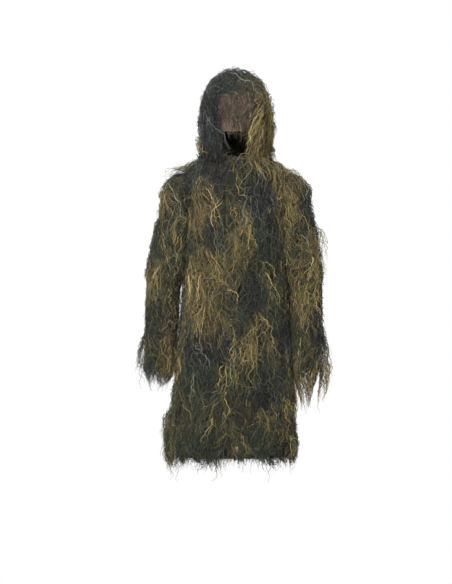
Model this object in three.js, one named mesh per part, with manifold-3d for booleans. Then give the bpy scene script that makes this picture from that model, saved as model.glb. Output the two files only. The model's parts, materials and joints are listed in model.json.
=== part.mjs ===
// Hooded ghillie parka: a netting parka covered in tied-on yarn, hanging from a wearer's
// shoulders. Millimetres, +Z up, the front faces -Y, the wearer's left is +X, and the origin
// is the middle of the neck's base.
import * as THREE from "three";
import { mergeVertices } from "three/addons/utils/BufferGeometryUtils.js";
import Module from "manifold-3d";

const wasm = await Module();
wasm.setup();

// Cloth, tape and yarn
const FABRIC = 3; // wall of netting and lining
const TAPE = 2; // thickness of sewn tapes and elastic
const SEAM = 0.4; // gap left on each side of a seam
const SWING_GAP = 1.2; // room above the fronts, so that they swing clear of the yoke
const LAYER_GAP = 0.6; // gap between layers that lie on each other
const YARN = 30; // depth of the yarn on body and sleeves
const HOOD_YARN = 27; // depth of the yarn on the hood
const NEAR_BODY_YARN = 14; // what is left of it on the body beside the sleeves
const ARM_AIR = 9; // open space between that and the sleeve's yarn

// Body of the parka
const NECK_Z = 40;
const YOKE_Z = -20; // seam between yoke and body panels
const HEM_Z = -980;
const NECK_HALF = { width: 78, depth: 72 };
const CHEST_HALF = { width: 150, depth: 133 };
const HEM_HALF = { width: 203, depth: 152 };
const SHOULDER_SPREAD = 8; // how far the shoulders stand out past the chest
const BODY_SQUARENESS = 2.4; // exponent of the body's oval section
const FRONT_SEAM_X = 112; // seam between front and side panels
const BACK_SEAM_Y = 0; // seam between side and back panels
const HEM_TAPE_WIDTH = 24;
const HEM_FRINGE = 38; // yarn hanging past the hem

// Hood and collar
const HOOD_BASE_Z = 45;
const HOOD_TOP_Z = 324;
const HOOD_HALF = { width: 101, depth: 114 };
const HOOD_SQUARENESS = 2.2;
const CROWN_HALF_WIDTH = 32;
const FACE_HALF_WIDTH = 66;
const FACE_ARCH_RISE = 66; // height of the round top of the face opening
const BROW_Z = 285;
const RIM_WIDTH = 7;
const COLLAR_HEIGHT = 24;
const COLLAR_NOTCH_HALF = 30; // open at the throat
const VEIL_HALF_WIDTH = 60;
const VEIL_BOTTOM_Z = 120;
const VEIL_STANDOFF = 3; // in front of the hood's rim
const BROW_FRINGE_DROP = 48;
const NAPE_LOOP = { width: 46, rise: 16, strap: 9 };

// Sleeves
const PIVOT = { x: CHEST_HALF.width + 26, z: -85 }; // shoulder joint
const CAP_R = 66;
const ARMHOLE_GAP = 3;
const ARMPIT_R = 87;
const UPPER_R = 57; // upper sleeve below its cap
const FOREARM_R = 45;
const CUFF_R = FOREARM_R - 4;
const ELBOW_GAP = 4;
const ELBOW_FLEX = 105; // degrees
const ELBOW_Z = -372;
const CUFF_Z = -681;
const FOREARM_LEAN = -14; // the cuff hangs this far forward
const CUFF_ELASTIC = 28;
// Each sleeve's elbow and cuff hang this far out from its shoulder joint.
const SLEEVES = [
  { side: "left", sign: 1, elbowOut: 64, cuffOut: 62, fringe: 150 },
  { side: "right", sign: -1, elbowOut: 72, cuffOut: 86, fringe: 85 },
];

// Front closure
const FLAP = { from: -34, to: 22, top: 18, bottom: -935 };
const FLAP_STANDOFF = 4;
const SNAP_COUNT = 6;
const SNAP_X = -20;
const SNAP_TOP_Z = -130;
const SNAP_BOTTOM_Z = -880;
const SNAP_CAP_R = 7.5;
const SNAP_CAP_RISE = 2.4;
const SNAP_STUD_R = 5;
const SNAP_POCKET = 2; // space between a cap and the yarn over it
const FACING_WIDTH = 28;

const RING_STEPS = 20;
const FAR = 900; // longer than anything that is cut

const root = new THREE.Group();

// ---- Solids ----

function solid(geometry) {
  const bare = geometry.index ? geometry.toNonIndexed() : geometry.clone();
  bare.deleteAttribute("normal");
  bare.deleteAttribute("uv");
  const merged = mergeVertices(bare, 1e-3);
  const mesh = new wasm.Mesh({
    numProp: 3,
    vertProperties: merged.attributes.position.array,
    triVerts: new Uint32Array(merged.index.array),
  });
  return new wasm.Manifold(mesh);
}

function block(x, y, z) {
  const box = new THREE.BoxGeometry(x[1] - x[0], y[1] - y[0], z[1] - z[0]);
  box.translate((x[0] + x[1]) / 2, (y[0] + y[1]) / 2, (z[0] + z[1]) / 2);
  return solid(box);
}

function ball(centre, radius) {
  const sphere = new THREE.SphereGeometry(radius, 16, 10);
  sphere.rotateX(Math.PI / 2);
  sphere.translate(centre.x, centre.y, centre.z);
  return solid(sphere);
}

// A cutter through the front, as wide as given, with a half oval on top.
function arch(halfWidth, bottom, top) {
  const outline = new THREE.Shape();
  outline.moveTo(-halfWidth, bottom);
  outline.lineTo(halfWidth, bottom);
  outline.lineTo(halfWidth, top - FACE_ARCH_RISE);
  outline.absellipse(0, top - FACE_ARCH_RISE, halfWidth, FACE_ARCH_RISE, 0, Math.PI);
  const cutter = new THREE.ExtrudeGeometry(outline, {
    depth: FAR,
    bevelEnabled: false,
    curveSegments: 7,
  });
  cutter.rotateX(Math.PI / 2);
  cutter.translate(0, -20, 0);
  return solid(cutter);
}

// A round bar from one point towards another.
function bar(from, to, radius) {
  const axis = to.clone().sub(from);
  const rod = new THREE.CylinderGeometry(radius, radius, axis.length(), 12);
  rod.translate(0, axis.length() / 2, 0);
  const up = new THREE.Vector3(0, 1, 0);
  rod.applyQuaternion(new THREE.Quaternion().setFromUnitVectors(up, axis.normalize()));
  rod.translate(from.x, from.y, from.z);
  return solid(rod);
}

function addPart(name, material, made) {
  const cut = made.getMesh();
  const geometry = new THREE.BufferGeometry();
  geometry.setAttribute("position", new THREE.BufferAttribute(cut.vertProperties, 3));
  geometry.setIndex(new THREE.BufferAttribute(cut.triVerts, 1));
  geometry.computeVertexNormals();
  const mesh = new THREE.Mesh(geometry, material.clone());
  mesh.name = name;
  root.add(mesh);
}

// ---- Lofted surfaces ----

// Each row of a loft is a level: z, half width, half depth, and its middle's x and y.
function row(z, width, depth, x = 0, y = 0) {
  return { z, width, depth, x, y };
}

function rowBetween(a, b, share) {
  const at = (key) => THREE.MathUtils.lerp(a[key], b[key], share);
  return row(at("z"), at("width"), at("depth"), at("x"), at("y"));
}

// The rows moved outward by a distance along the outline's slope.
function offsetRows(rows, distance) {
  return rows.map((here, i) => {
    const below = rows[Math.max(i - 1, 0)];
    const above = rows[Math.min(i + 1, rows.length - 1)];
    const rise = above.z - below.z;
    const spread = (above.width + above.depth - below.width - below.depth) / 2;
    const length = Math.hypot(rise, spread);
    const out = (distance * rise) / length;
    const up = (-distance * spread) / length;
    return row(here.z + up, here.width + out, here.depth + out, here.x, here.y);
  });
}

function ovalPoint(level, angle, squareness) {
  const round = (value) => Math.sign(value) * Math.abs(value) ** (2 / squareness);
  const x = level.x + level.width * round(Math.cos(angle));
  const y = level.y + level.depth * round(Math.sin(angle));
  return new THREE.Vector3(x, y, level.z);
}

function loft(rows, squareness) {
  const steps = rows.length - 1;
  const geometry = new THREE.CylinderGeometry(1, 1, 1, RING_STEPS, steps);
  geometry.rotateX(Math.PI / 2);
  const spots = geometry.attributes.position;
  for (let i = 0; i < spots.count; i += 1) {
    const level = rows[Math.round((spots.getZ(i) + 0.5) * steps)];
    const reach = Math.hypot(spots.getX(i), spots.getY(i));
    const spot = ovalPoint(level, Math.atan2(spots.getY(i), spots.getX(i)), squareness);
    if (reach < 0.5) spot.set(level.x, level.y, level.z);
    spots.setXYZ(i, spot.x, spot.y, spot.z);
  }
  return solid(geometry);
}

// The wall between two offsets of one loft, open at the ends that are stretched.
function wall(rows, squareness, outer, inner, openTop) {
  const inside = offsetRows(rows, inner);
  const first = inside[0];
  const last = inside[inside.length - 1];
  inside.unshift({ ...first, z: first.z - 60 });
  if (openTop) inside.push({ ...last, z: last.z + 60 });
  return loft(offsetRows(rows, outer), squareness).subtract(loft(inside, squareness));
}

const chest = CHEST_HALF;
const hem = row(HEM_Z, HEM_HALF.width, HEM_HALF.depth, -12);
const waist = row(THREE.MathUtils.lerp(YOKE_Z, HEM_Z, 0.37), chest.width + 5, chest.depth - 2);
const shoulderWidth = chest.width + SHOULDER_SPREAD;
const neck = row(NECK_Z, NECK_HALF.width, NECK_HALF.depth);
const shoulderEdge = row(YOKE_Z + 8, shoulderWidth, chest.depth - 28);
const BODY_ROWS = [
  hem,
  rowBetween(hem, waist, 0.5),
  waist,
  row(YOKE_Z - 170, chest.width, chest.depth),
  row(YOKE_Z - 70, shoulderWidth - 2, chest.depth - 10),
  row(YOKE_Z - 22, shoulderWidth + 3, chest.depth - 20),
  shoulderEdge,
  { ...rowBetween(shoulderEdge, neck, 0.5), z: THREE.MathUtils.lerp(YOKE_Z + 8, NECK_Z, 0.6) },
  neck,
];

// The hood: nearly upright walls, then a dome.
const DOME = [0, 22, 42, 60, 75, 86];
const DOME_Z = HOOD_TOP_Z - HOOD_HALF.depth;
const HOOD_ROWS = [
  row(HOOD_BASE_Z, HOOD_HALF.width - 8, HOOD_HALF.depth - 22),
  row(HOOD_BASE_Z + 50, HOOD_HALF.width - 2, HOOD_HALF.depth - 9),
  row(HOOD_BASE_Z + 105, HOOD_HALF.width, HOOD_HALF.depth - 2, 0, 1),
  ...DOME.map((degrees) => {
    const lean = THREE.MathUtils.degToRad(degrees);
    const z = DOME_Z + HOOD_HALF.depth * Math.sin(lean);
    return row(z, HOOD_HALF.width * Math.cos(lean), HOOD_HALF.depth * Math.cos(lean), 0, 3);
  }),
];

const YARN_ROWS = [{ ...hem, z: HEM_Z - HEM_FRINGE }, ...BODY_ROWS];
const bodyWall = (outer, inner) => wall(BODY_ROWS, BODY_SQUARENESS, outer, inner, true);
const yarnWall = (outer, inner) => wall(YARN_ROWS, BODY_SQUARENESS, outer, inner, true);
const hoodWall = (outer, inner) => wall(HOOD_ROWS, HOOD_SQUARENESS, outer, inner, false);
const bodyFilled = (offset) => loft(offsetRows(BODY_ROWS, offset), BODY_SQUARENESS);

// The body's front at a place, moved out by an offset.
function frontY(x, z, offset) {
  const above = BODY_ROWS.findIndex((level) => level.z >= z);
  const low = BODY_ROWS[above - 1];
  const high = BODY_ROWS[above];
  const level = rowBetween(low, high, (z - low.z) / (high.z - low.z));
  const across = Math.abs((x - level.x) / level.width) ** BODY_SQUARENESS;
  return level.y - level.depth * (1 - across) ** (1 / BODY_SQUARENESS) - offset;
}

// ---- Materials ----

const finish = (color, roughness, metalness = 0) =>
  new THREE.MeshStandardMaterial({ color, roughness, metalness });
const netting = finish(0x3d402c, 0.95);
const lining = finish(0x2b2d22, 0.95);
const tape = finish(0x34362a, 0.9);
const elastic = finish(0x23241f, 0.85);
const veilNet = finish(0x5b5348, 0.95);
const brass = finish(0x2e2c26, 0.45, 0.8);
const darkYarn = finish(0x2a2d28, 1);
const oliveYarn = finish(0x4a4a30, 1);
const tanYarn = finish(0x7a6a42, 1);

// ---- Sleeve shapes, each about its own axis ----

function sleeveFrame(sleeve) {
  const shoulder = new THREE.Vector3(sleeve.sign * PIVOT.x, 0, PIVOT.z);
  const elbow = new THREE.Vector3(sleeve.sign * (PIVOT.x + sleeve.elbowOut), 0, ELBOW_Z);
  const cuff = new THREE.Vector3(sleeve.sign * (PIVOT.x + sleeve.cuffOut), FOREARM_LEAN, CUFF_Z);
  return { ...sleeve, shoulder, elbow, cuff };
}

// A turned shape whose profile runs from one point towards another.
function turned(profile, from, to) {
  const geometry = new THREE.LatheGeometry(profile, RING_STEPS - 6);
  const up = new THREE.Vector3(0, 1, 0);
  const towards = to.clone().sub(from).normalize();
  geometry.applyQuaternion(new THREE.Quaternion().setFromUnitVectors(up, towards));
  geometry.translate(from.x, from.y, from.z);
  return solid(geometry);
}

// A profile that starts as a ball about its origin and goes on as a tapering bar.
function ballAndBar(ballRadius, startRadius, startAt, endRadius, endAt) {
  const profile = [];
  const turn = Math.acos(Math.max(-1, Math.min(1, startAt / ballRadius)));
  const arcSteps = 5;
  for (let i = 0; i <= arcSteps; i += 1) {
    const angle = THREE.MathUtils.lerp(Math.PI, turn, i / arcSteps);
    profile.push(new THREE.Vector2(ballRadius * Math.sin(angle), ballRadius * Math.cos(angle)));
  }
  profile[0].x = 0;
  if (startRadius !== null) profile[arcSteps].x = startRadius;
  profile.push(new THREE.Vector2((profile[arcSteps].x + endRadius) / 2, (startAt + endAt) / 2));
  profile.push(new THREE.Vector2(endRadius, endAt));
  profile.push(new THREE.Vector2(0, endAt));
  return profile;
}

function upperShape(arm, offset, past) {
  const length = arm.elbow.distanceTo(arm.shoulder) + past;
  const end = FOREARM_R + ELBOW_GAP + FABRIC + offset;
  const startAt = CAP_R * 0.5;
  const profile = ballAndBar(CAP_R + offset, UPPER_R + offset, startAt, end, length);
  return turned(profile, arm.shoulder, arm.elbow);
}

function lowerShape(arm, offset, past) {
  const length = arm.cuff.distanceTo(arm.elbow) + past;
  const profile = ballAndBar(FOREARM_R + offset, FOREARM_R + offset, 0, CUFF_R + offset, length);
  return turned(profile, arm.elbow, arm.cuff);
}

// Everything the forearm reaches as the elbow bends, in front of and below the elbow.
function elbowSweep(arm) {
  const reach = FOREARM_R + ELBOW_GAP;
  const { x, z } = arm.elbow;
  let sweep = block([x - 80, x + 80], [-FAR, 0], [z - 80, z]);
  for (const degrees of [90, ELBOW_FLEX]) {
    const flex = THREE.MathUtils.degToRad(degrees);
    const out = new THREE.Vector3(0, -Math.sin(flex), -Math.cos(flex)).multiplyScalar(140);
    sweep = sweep.add(bar(arm.elbow, arm.elbow.clone().add(out), reach));
  }
  return sweep.add(ball(arm.elbow, reach));
}

// ---- Body panels, hem tapes and their yarn ----

const toSide = FRONT_SEAM_X + SEAM;
const BODY_PANELS = [
  { name: "back", yarn: oliveYarn, x: [-FAR, FAR], y: [BACK_SEAM_Y + SEAM, FAR], drop: 0 },
  { name: "side_left", yarn: darkYarn, x: [toSide, FAR], y: [-FAR, BACK_SEAM_Y], drop: 0 },
  { name: "side_right", yarn: darkYarn, x: [-FAR, -toSide], y: [-FAR, BACK_SEAM_Y], drop: 0 },
  { name: "front_left", yarn: tanYarn, x: [SEAM, FRONT_SEAM_X], y: [-FAR, 0], drop: SWING_GAP },
  { name: "front_right", yarn: oliveYarn, x: [-FRONT_SEAM_X, -SEAM], y: [-FAR, 0], drop: SWING_GAP },
];

const arms = SLEEVES.map(sleeveFrame);

function armholes(upperRadius) {
  return arms.map((arm) => {
    const lower = block([-FAR, FAR], [-FAR, FAR], [-FAR, PIVOT.z - 20]);
    const gusset = ball(arm.shoulder, ARMPIT_R).intersect(lower);
    return ball(arm.shoulder, upperRadius).add(gusset).add(upperShape(arm, ARMHOLE_GAP, -20));
  });
}

function without(made, cutters) {
  return cutters.reduce((left, cutter) => left.subtract(cutter), made);
}

const fabricHoles = armholes(CAP_R + ARMHOLE_GAP);
const bodyFabric = without(bodyWall(0, -FABRIC), fabricHoles);
const hemTape = bodyWall(-FABRIC - LAYER_GAP, -FABRIC - LAYER_GAP - TAPE);
const sleeveSpace = arms.map((arm) =>
  upperShape(arm, YARN + 1, 0)
    .add(lowerShape(arm, YARN + 1, arm.fringe + 2))
    .subtract(bodyFilled(NEAR_BODY_YARN))
    .add(upperShape(arm, LAYER_GAP, 40)),
);
const bodyYarn = without(yarnWall(YARN, LAYER_GAP), [...sleeveSpace, ...fabricHoles]);
const hoodSpace = loft(offsetRows(HOOD_ROWS, HOOD_YARN + 1), HOOD_SQUARENESS);
const below = block([-FAR, FAR], [-FAR, FAR], [-2 * FAR, YOKE_Z]);
const hemLevel = block([-FAR, FAR], [-FAR, FAR], [HEM_Z - 50, HEM_Z + HEM_TAPE_WIDTH]);

for (const panel of BODY_PANELS) {
  const area = block(panel.x, panel.y, [-2 * FAR, YOKE_Z - panel.drop]);
  addPart(`${panel.name}_panel`, netting, bodyFabric.intersect(area));
  addPart(`${panel.name}_hem_tape`, tape, hemTape.intersect(area).intersect(hemLevel));
}

// Yarn leaves the closure flap free.
const yarnArea = {
  front_left: [FLAP.to + LAYER_GAP, FRONT_SEAM_X],
  front_right: [-FRONT_SEAM_X, FLAP.from - LAYER_GAP],
};
for (const panel of BODY_PANELS) {
  const area = block(yarnArea[panel.name] ?? panel.x, panel.y, [-2 * FAR, YOKE_Z - panel.drop]);
  addPart(`${panel.name}_yarn`, panel.yarn, bodyYarn.intersect(area));
}

// ---- Yoke and collar ----

const throat = block([-COLLAR_NOTCH_HALF, COLLAR_NOTCH_HALF], [-FAR, 0], [YOKE_Z, FAR]);
const centreSeam = block([-SEAM, SEAM], [-FAR, 0], [-FAR, FAR]);
const aboveYoke = block([-FAR, FAR], [-FAR, FAR], [YOKE_Z + SEAM, FAR]);
const yoke = bodyFabric.intersect(aboveYoke).subtract(centreSeam);
addPart("shoulder_yoke", netting, yoke);
const yokeYarn = bodyYarn.intersect(aboveYoke).subtract(hoodSpace);
const overFlap = block([FLAP.from - 1, FLAP.to + 1], [-FAR, 0], [YOKE_Z, FAR]);
for (const [side, from, to] of [["left", SEAM, FAR], ["right", -FAR, -SEAM]]) {
  const half = block([from, to], [-FAR, FAR], [-FAR, FAR]);
  addPart(`yoke_${side}_yarn`, darkYarn, yokeYarn.intersect(half).subtract(overFlap));
}

const collarRows = [
  row(NECK_Z + LAYER_GAP, NECK_HALF.width, NECK_HALF.depth),
  row(NECK_Z + COLLAR_HEIGHT, NECK_HALF.width - 1, NECK_HALF.depth - 1),
];
const collar = wall(collarRows, BODY_SQUARENESS, 0, -FABRIC, true);
addPart("stand_collar", lining, collar.subtract(throat));

// ---- Sleeves ----

for (const arm of arms) {
  const sweep = elbowSweep(arm);
  const inward = arm.shoulder.clone();
  inward.x -= arm.sign * FAR;
  const mouth = bar(arm.shoulder, inward, CAP_R - 8);
  const upArm = arm.elbow.clone().add(arm.shoulder.clone().sub(arm.elbow).setLength(FAR));
  const upper = upperShape(arm, 0, 12).subtract(upperShape(arm, -FABRIC, 40));
  const elbowRoom = [sweep, mouth, lowerShape(arm, LAYER_GAP, 0)];
  addPart(`upper_sleeve_${arm.side}`, netting, without(upper, elbowRoom));

  const lower = lowerShape(arm, 0, 0).subtract(lowerShape(arm, -FABRIC, 40));
  const elbowMouth = bar(arm.elbow, upArm, FOREARM_R - 7);
  addPart(`lower_sleeve_${arm.side}`, netting, lower.subtract(elbowMouth));

  const inner = -FABRIC - LAYER_GAP;
  const cuffArea = block([-FAR, FAR], [-FAR, FAR], [CUFF_Z - 40, CUFF_Z + CUFF_ELASTIC]);
  const band = lowerShape(arm, inner, -1).subtract(lowerShape(arm, inner - TAPE, 40));
  addPart(`cuff_elastic_${arm.side}`, elastic, band.intersect(cuffArea));

  const aboveElbow = block([-FAR, FAR], [-FAR, FAR], [ELBOW_Z + SEAM, FAR]);
  const belowElbow = block([-FAR, FAR], [-FAR, FAR], [-2 * FAR, ELBOW_Z - SEAM]);
  const nearBody = bodyFilled(NEAR_BODY_YARN + ARM_AIR);
  const upperYarn = upperShape(arm, YARN, 40)
    .subtract(upperShape(arm, LAYER_GAP, 60))
    .intersect(aboveElbow)
    .subtract(nearBody)
    .subtract(hoodSpace);
  addPart(`upper_sleeve_${arm.side}_yarn`, arm.sign > 0 ? tanYarn : oliveYarn, upperYarn);
  const clearOfUpper = upperShape(arm, LAYER_GAP, 20);
  const lowerYarn = lowerShape(arm, YARN, arm.fringe)
    .subtract(lowerShape(arm, LAYER_GAP, arm.fringe + 40))
    .intersect(belowElbow)
    .subtract(clearOfUpper)
    .subtract(nearBody);
  addPart(`lower_sleeve_${arm.side}_yarn`, oliveYarn, lowerYarn);
}

// ---- Hood ----

const faceArch = (past) => arch(FACE_HALF_WIDTH + past, -FAR, BROW_Z + past);
const rimOuter = faceArch(RIM_WIDTH);
const rimInner = faceArch(0);
const rimEdge = faceArch(RIM_WIDTH + SEAM);
const hoodBase = block([-FAR, FAR], [-FAR, FAR], [HOOD_BASE_Z, FAR]);
const crownStrip = block([-CROWN_HALF_WIDTH, CROWN_HALF_WIDTH], [-FAR, FAR], [-FAR, FAR]);
const leftOfCrown = block([CROWN_HALF_WIDTH + SEAM, FAR], [-FAR, FAR], [-FAR, FAR]);
const rightOfCrown = block([-FAR, -CROWN_HALF_WIDTH - SEAM], [-FAR, FAR], [-FAR, FAR]);
const HOOD_PANELS = [
  { name: "hood_crown", area: crownStrip, yarn: darkYarn },
  { name: "hood_left", area: leftOfCrown, yarn: oliveYarn },
  { name: "hood_right", area: rightOfCrown, yarn: darkYarn },
];
const hoodFabric = hoodWall(0, -FABRIC).intersect(hoodBase).subtract(rimEdge);
const veilTop = BROW_Z + RIM_WIDTH;
const veilSpace = arch(FACE_HALF_WIDTH + SEAM, -FAR, veilTop + 14);
const hoodYarn = hoodWall(HOOD_YARN, LAYER_GAP + 1.2).intersect(hoodBase).subtract(veilSpace);
for (const panel of HOOD_PANELS) {
  addPart(`${panel.name}_panel`, netting, hoodFabric.intersect(panel.area));
  addPart(`${panel.name}_yarn`, panel.yarn, hoodYarn.intersect(panel.area));
}

const rim = (outer, inner) =>
  hoodWall(outer, inner).intersect(hoodBase).intersect(rimOuter).subtract(rimInner);
addPart("hood_rim_binding", tape, rim(1, -FABRIC - 1));
addPart("hood_rim_elastic", elastic, rim(-FABRIC - 1 - LAYER_GAP, -FABRIC - 1 - LAYER_GAP - TAPE));

const veilArch = (top) => arch(VEIL_HALF_WIDTH, VEIL_BOTTOM_Z, top);
const veilSheet = hoodWall(VEIL_STANDOFF + TAPE, VEIL_STANDOFF);
addPart("face_veil", veilNet, veilSheet.intersect(veilArch(veilTop - 2)));
const browTape = veilArch(veilTop + 9).subtract(veilArch(veilTop));
const aboveBrow = block([-FAR, FAR], [-FAR, FAR], [BROW_Z - 25, FAR]);
addPart("veil_brow_tape", tape, veilSheet.intersect(browTape).intersect(aboveBrow));
const fringeSheet = hoodWall(HOOD_YARN, VEIL_STANDOFF + TAPE + LAYER_GAP);
const fringeLevel = block([-FAR, FAR], [-FAR, FAR], [veilTop - BROW_FRINGE_DROP, FAR]);
const fringeArea = veilArch(veilTop + 10).intersect(fringeLevel);
addPart("brow_fringe", darkYarn, fringeSheet.intersect(fringeArea));

// ---- Closure: flap, facings and snaps ----

const flapArea = block([FLAP.from, FLAP.to], [-FAR, 0], [FLAP.bottom, FLAP.top]);
const flapOuter = FLAP_STANDOFF + FABRIC;
addPart("placket_flap", netting, bodyWall(flapOuter, FLAP_STANDOFF).intersect(flapArea));
const flapYarnInner = flapOuter + SNAP_CAP_RISE + SNAP_POCKET;
const flapYarn = bodyWall(YARN, flapYarnInner).intersect(flapArea).intersect(below);
addPart("placket_flap_yarn", oliveYarn, flapYarn);

const facing = bodyWall(-FABRIC - LAYER_GAP, -FABRIC - LAYER_GAP - TAPE).intersect(below);
const aboveHemTape = [HEM_Z + HEM_TAPE_WIDTH + 2 * SEAM, FAR];
for (const [side, from, to] of [["left", SEAM, FACING_WIDTH], ["right", -FACING_WIDTH, -SEAM]]) {
  addPart(`facing_tape_${side}`, tape, facing.intersect(block([from, to], [-FAR, 0], aboveHemTape)));
}

function snapCap(z) {
  const y = frontY(SNAP_X, z, flapOuter);
  const dome = new THREE.LatheGeometry(
    [
      new THREE.Vector2(0, -3),
      new THREE.Vector2(SNAP_CAP_R, -3),
      new THREE.Vector2(SNAP_CAP_R, SNAP_CAP_RISE * 0.45),
      new THREE.Vector2(SNAP_CAP_R * 0.8, SNAP_CAP_RISE * 0.85),
      new THREE.Vector2(0, SNAP_CAP_RISE),
    ],
    10,
  );
  dome.rotateX(Math.PI);
  dome.translate(SNAP_X, y, z);
  return solid(dome);
}

const underCaps = bodyFilled(flapOuter + SEAM);
const studLayer = bodyWall(FLAP_STANDOFF - SEAM, SEAM);
for (let i = 0; i < SNAP_COUNT; i += 1) {
  const z = THREE.MathUtils.lerp(SNAP_TOP_Z, SNAP_BOTTOM_Z, i / (SNAP_COUNT - 1));
  addPart(`snap_cap_${i + 1}`, brass, snapCap(z).subtract(underCaps));
  const y = frontY(SNAP_X, z, 0);
  const from = new THREE.Vector3(SNAP_X, y + 10, z);
  const stud = bar(from, new THREE.Vector3(SNAP_X, y - 20, z), SNAP_STUD_R);
  addPart(`snap_stud_${i + 1}`, brass, stud.intersect(studLayer));
}

// ---- Hanger loop inside the nape ----

function hangerLoop() {
  const y = NECK_HALF.depth - FABRIC - 2 - TAPE;
  const z = NECK_Z + 6;
  const half = NAPE_LOOP.width / 2;
  const outline = new THREE.Shape();
  outline.moveTo(-half, 0);
  outline.lineTo(half, 0);
  outline.lineTo(half, NAPE_LOOP.rise + NAPE_LOOP.strap);
  outline.lineTo(-half, NAPE_LOOP.rise + NAPE_LOOP.strap);
  const gap = new THREE.Path();
  gap.moveTo(-half + NAPE_LOOP.strap, 3);
  gap.lineTo(-half + NAPE_LOOP.strap, NAPE_LOOP.rise);
  gap.lineTo(half - NAPE_LOOP.strap, NAPE_LOOP.rise);
  gap.lineTo(half - NAPE_LOOP.strap, 3);
  outline.holes.push(gap);
  const loop = new THREE.ExtrudeGeometry(outline, { depth: TAPE, bevelEnabled: false });
  loop.rotateX(Math.PI / 2);
  loop.translate(0, y, z);
  return solid(loop);
}
addPart("hanger_loop", tape, hangerLoop());

export default root;
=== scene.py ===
"""Looks of the hooded ghillie parka: net shell, tapes and snaps under a deep coat of loose yarn.

Metres, +Z up, the front faces -Y, the wearer's left is +X.
"""
import json
import math
import zlib
from functools import partial

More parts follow.
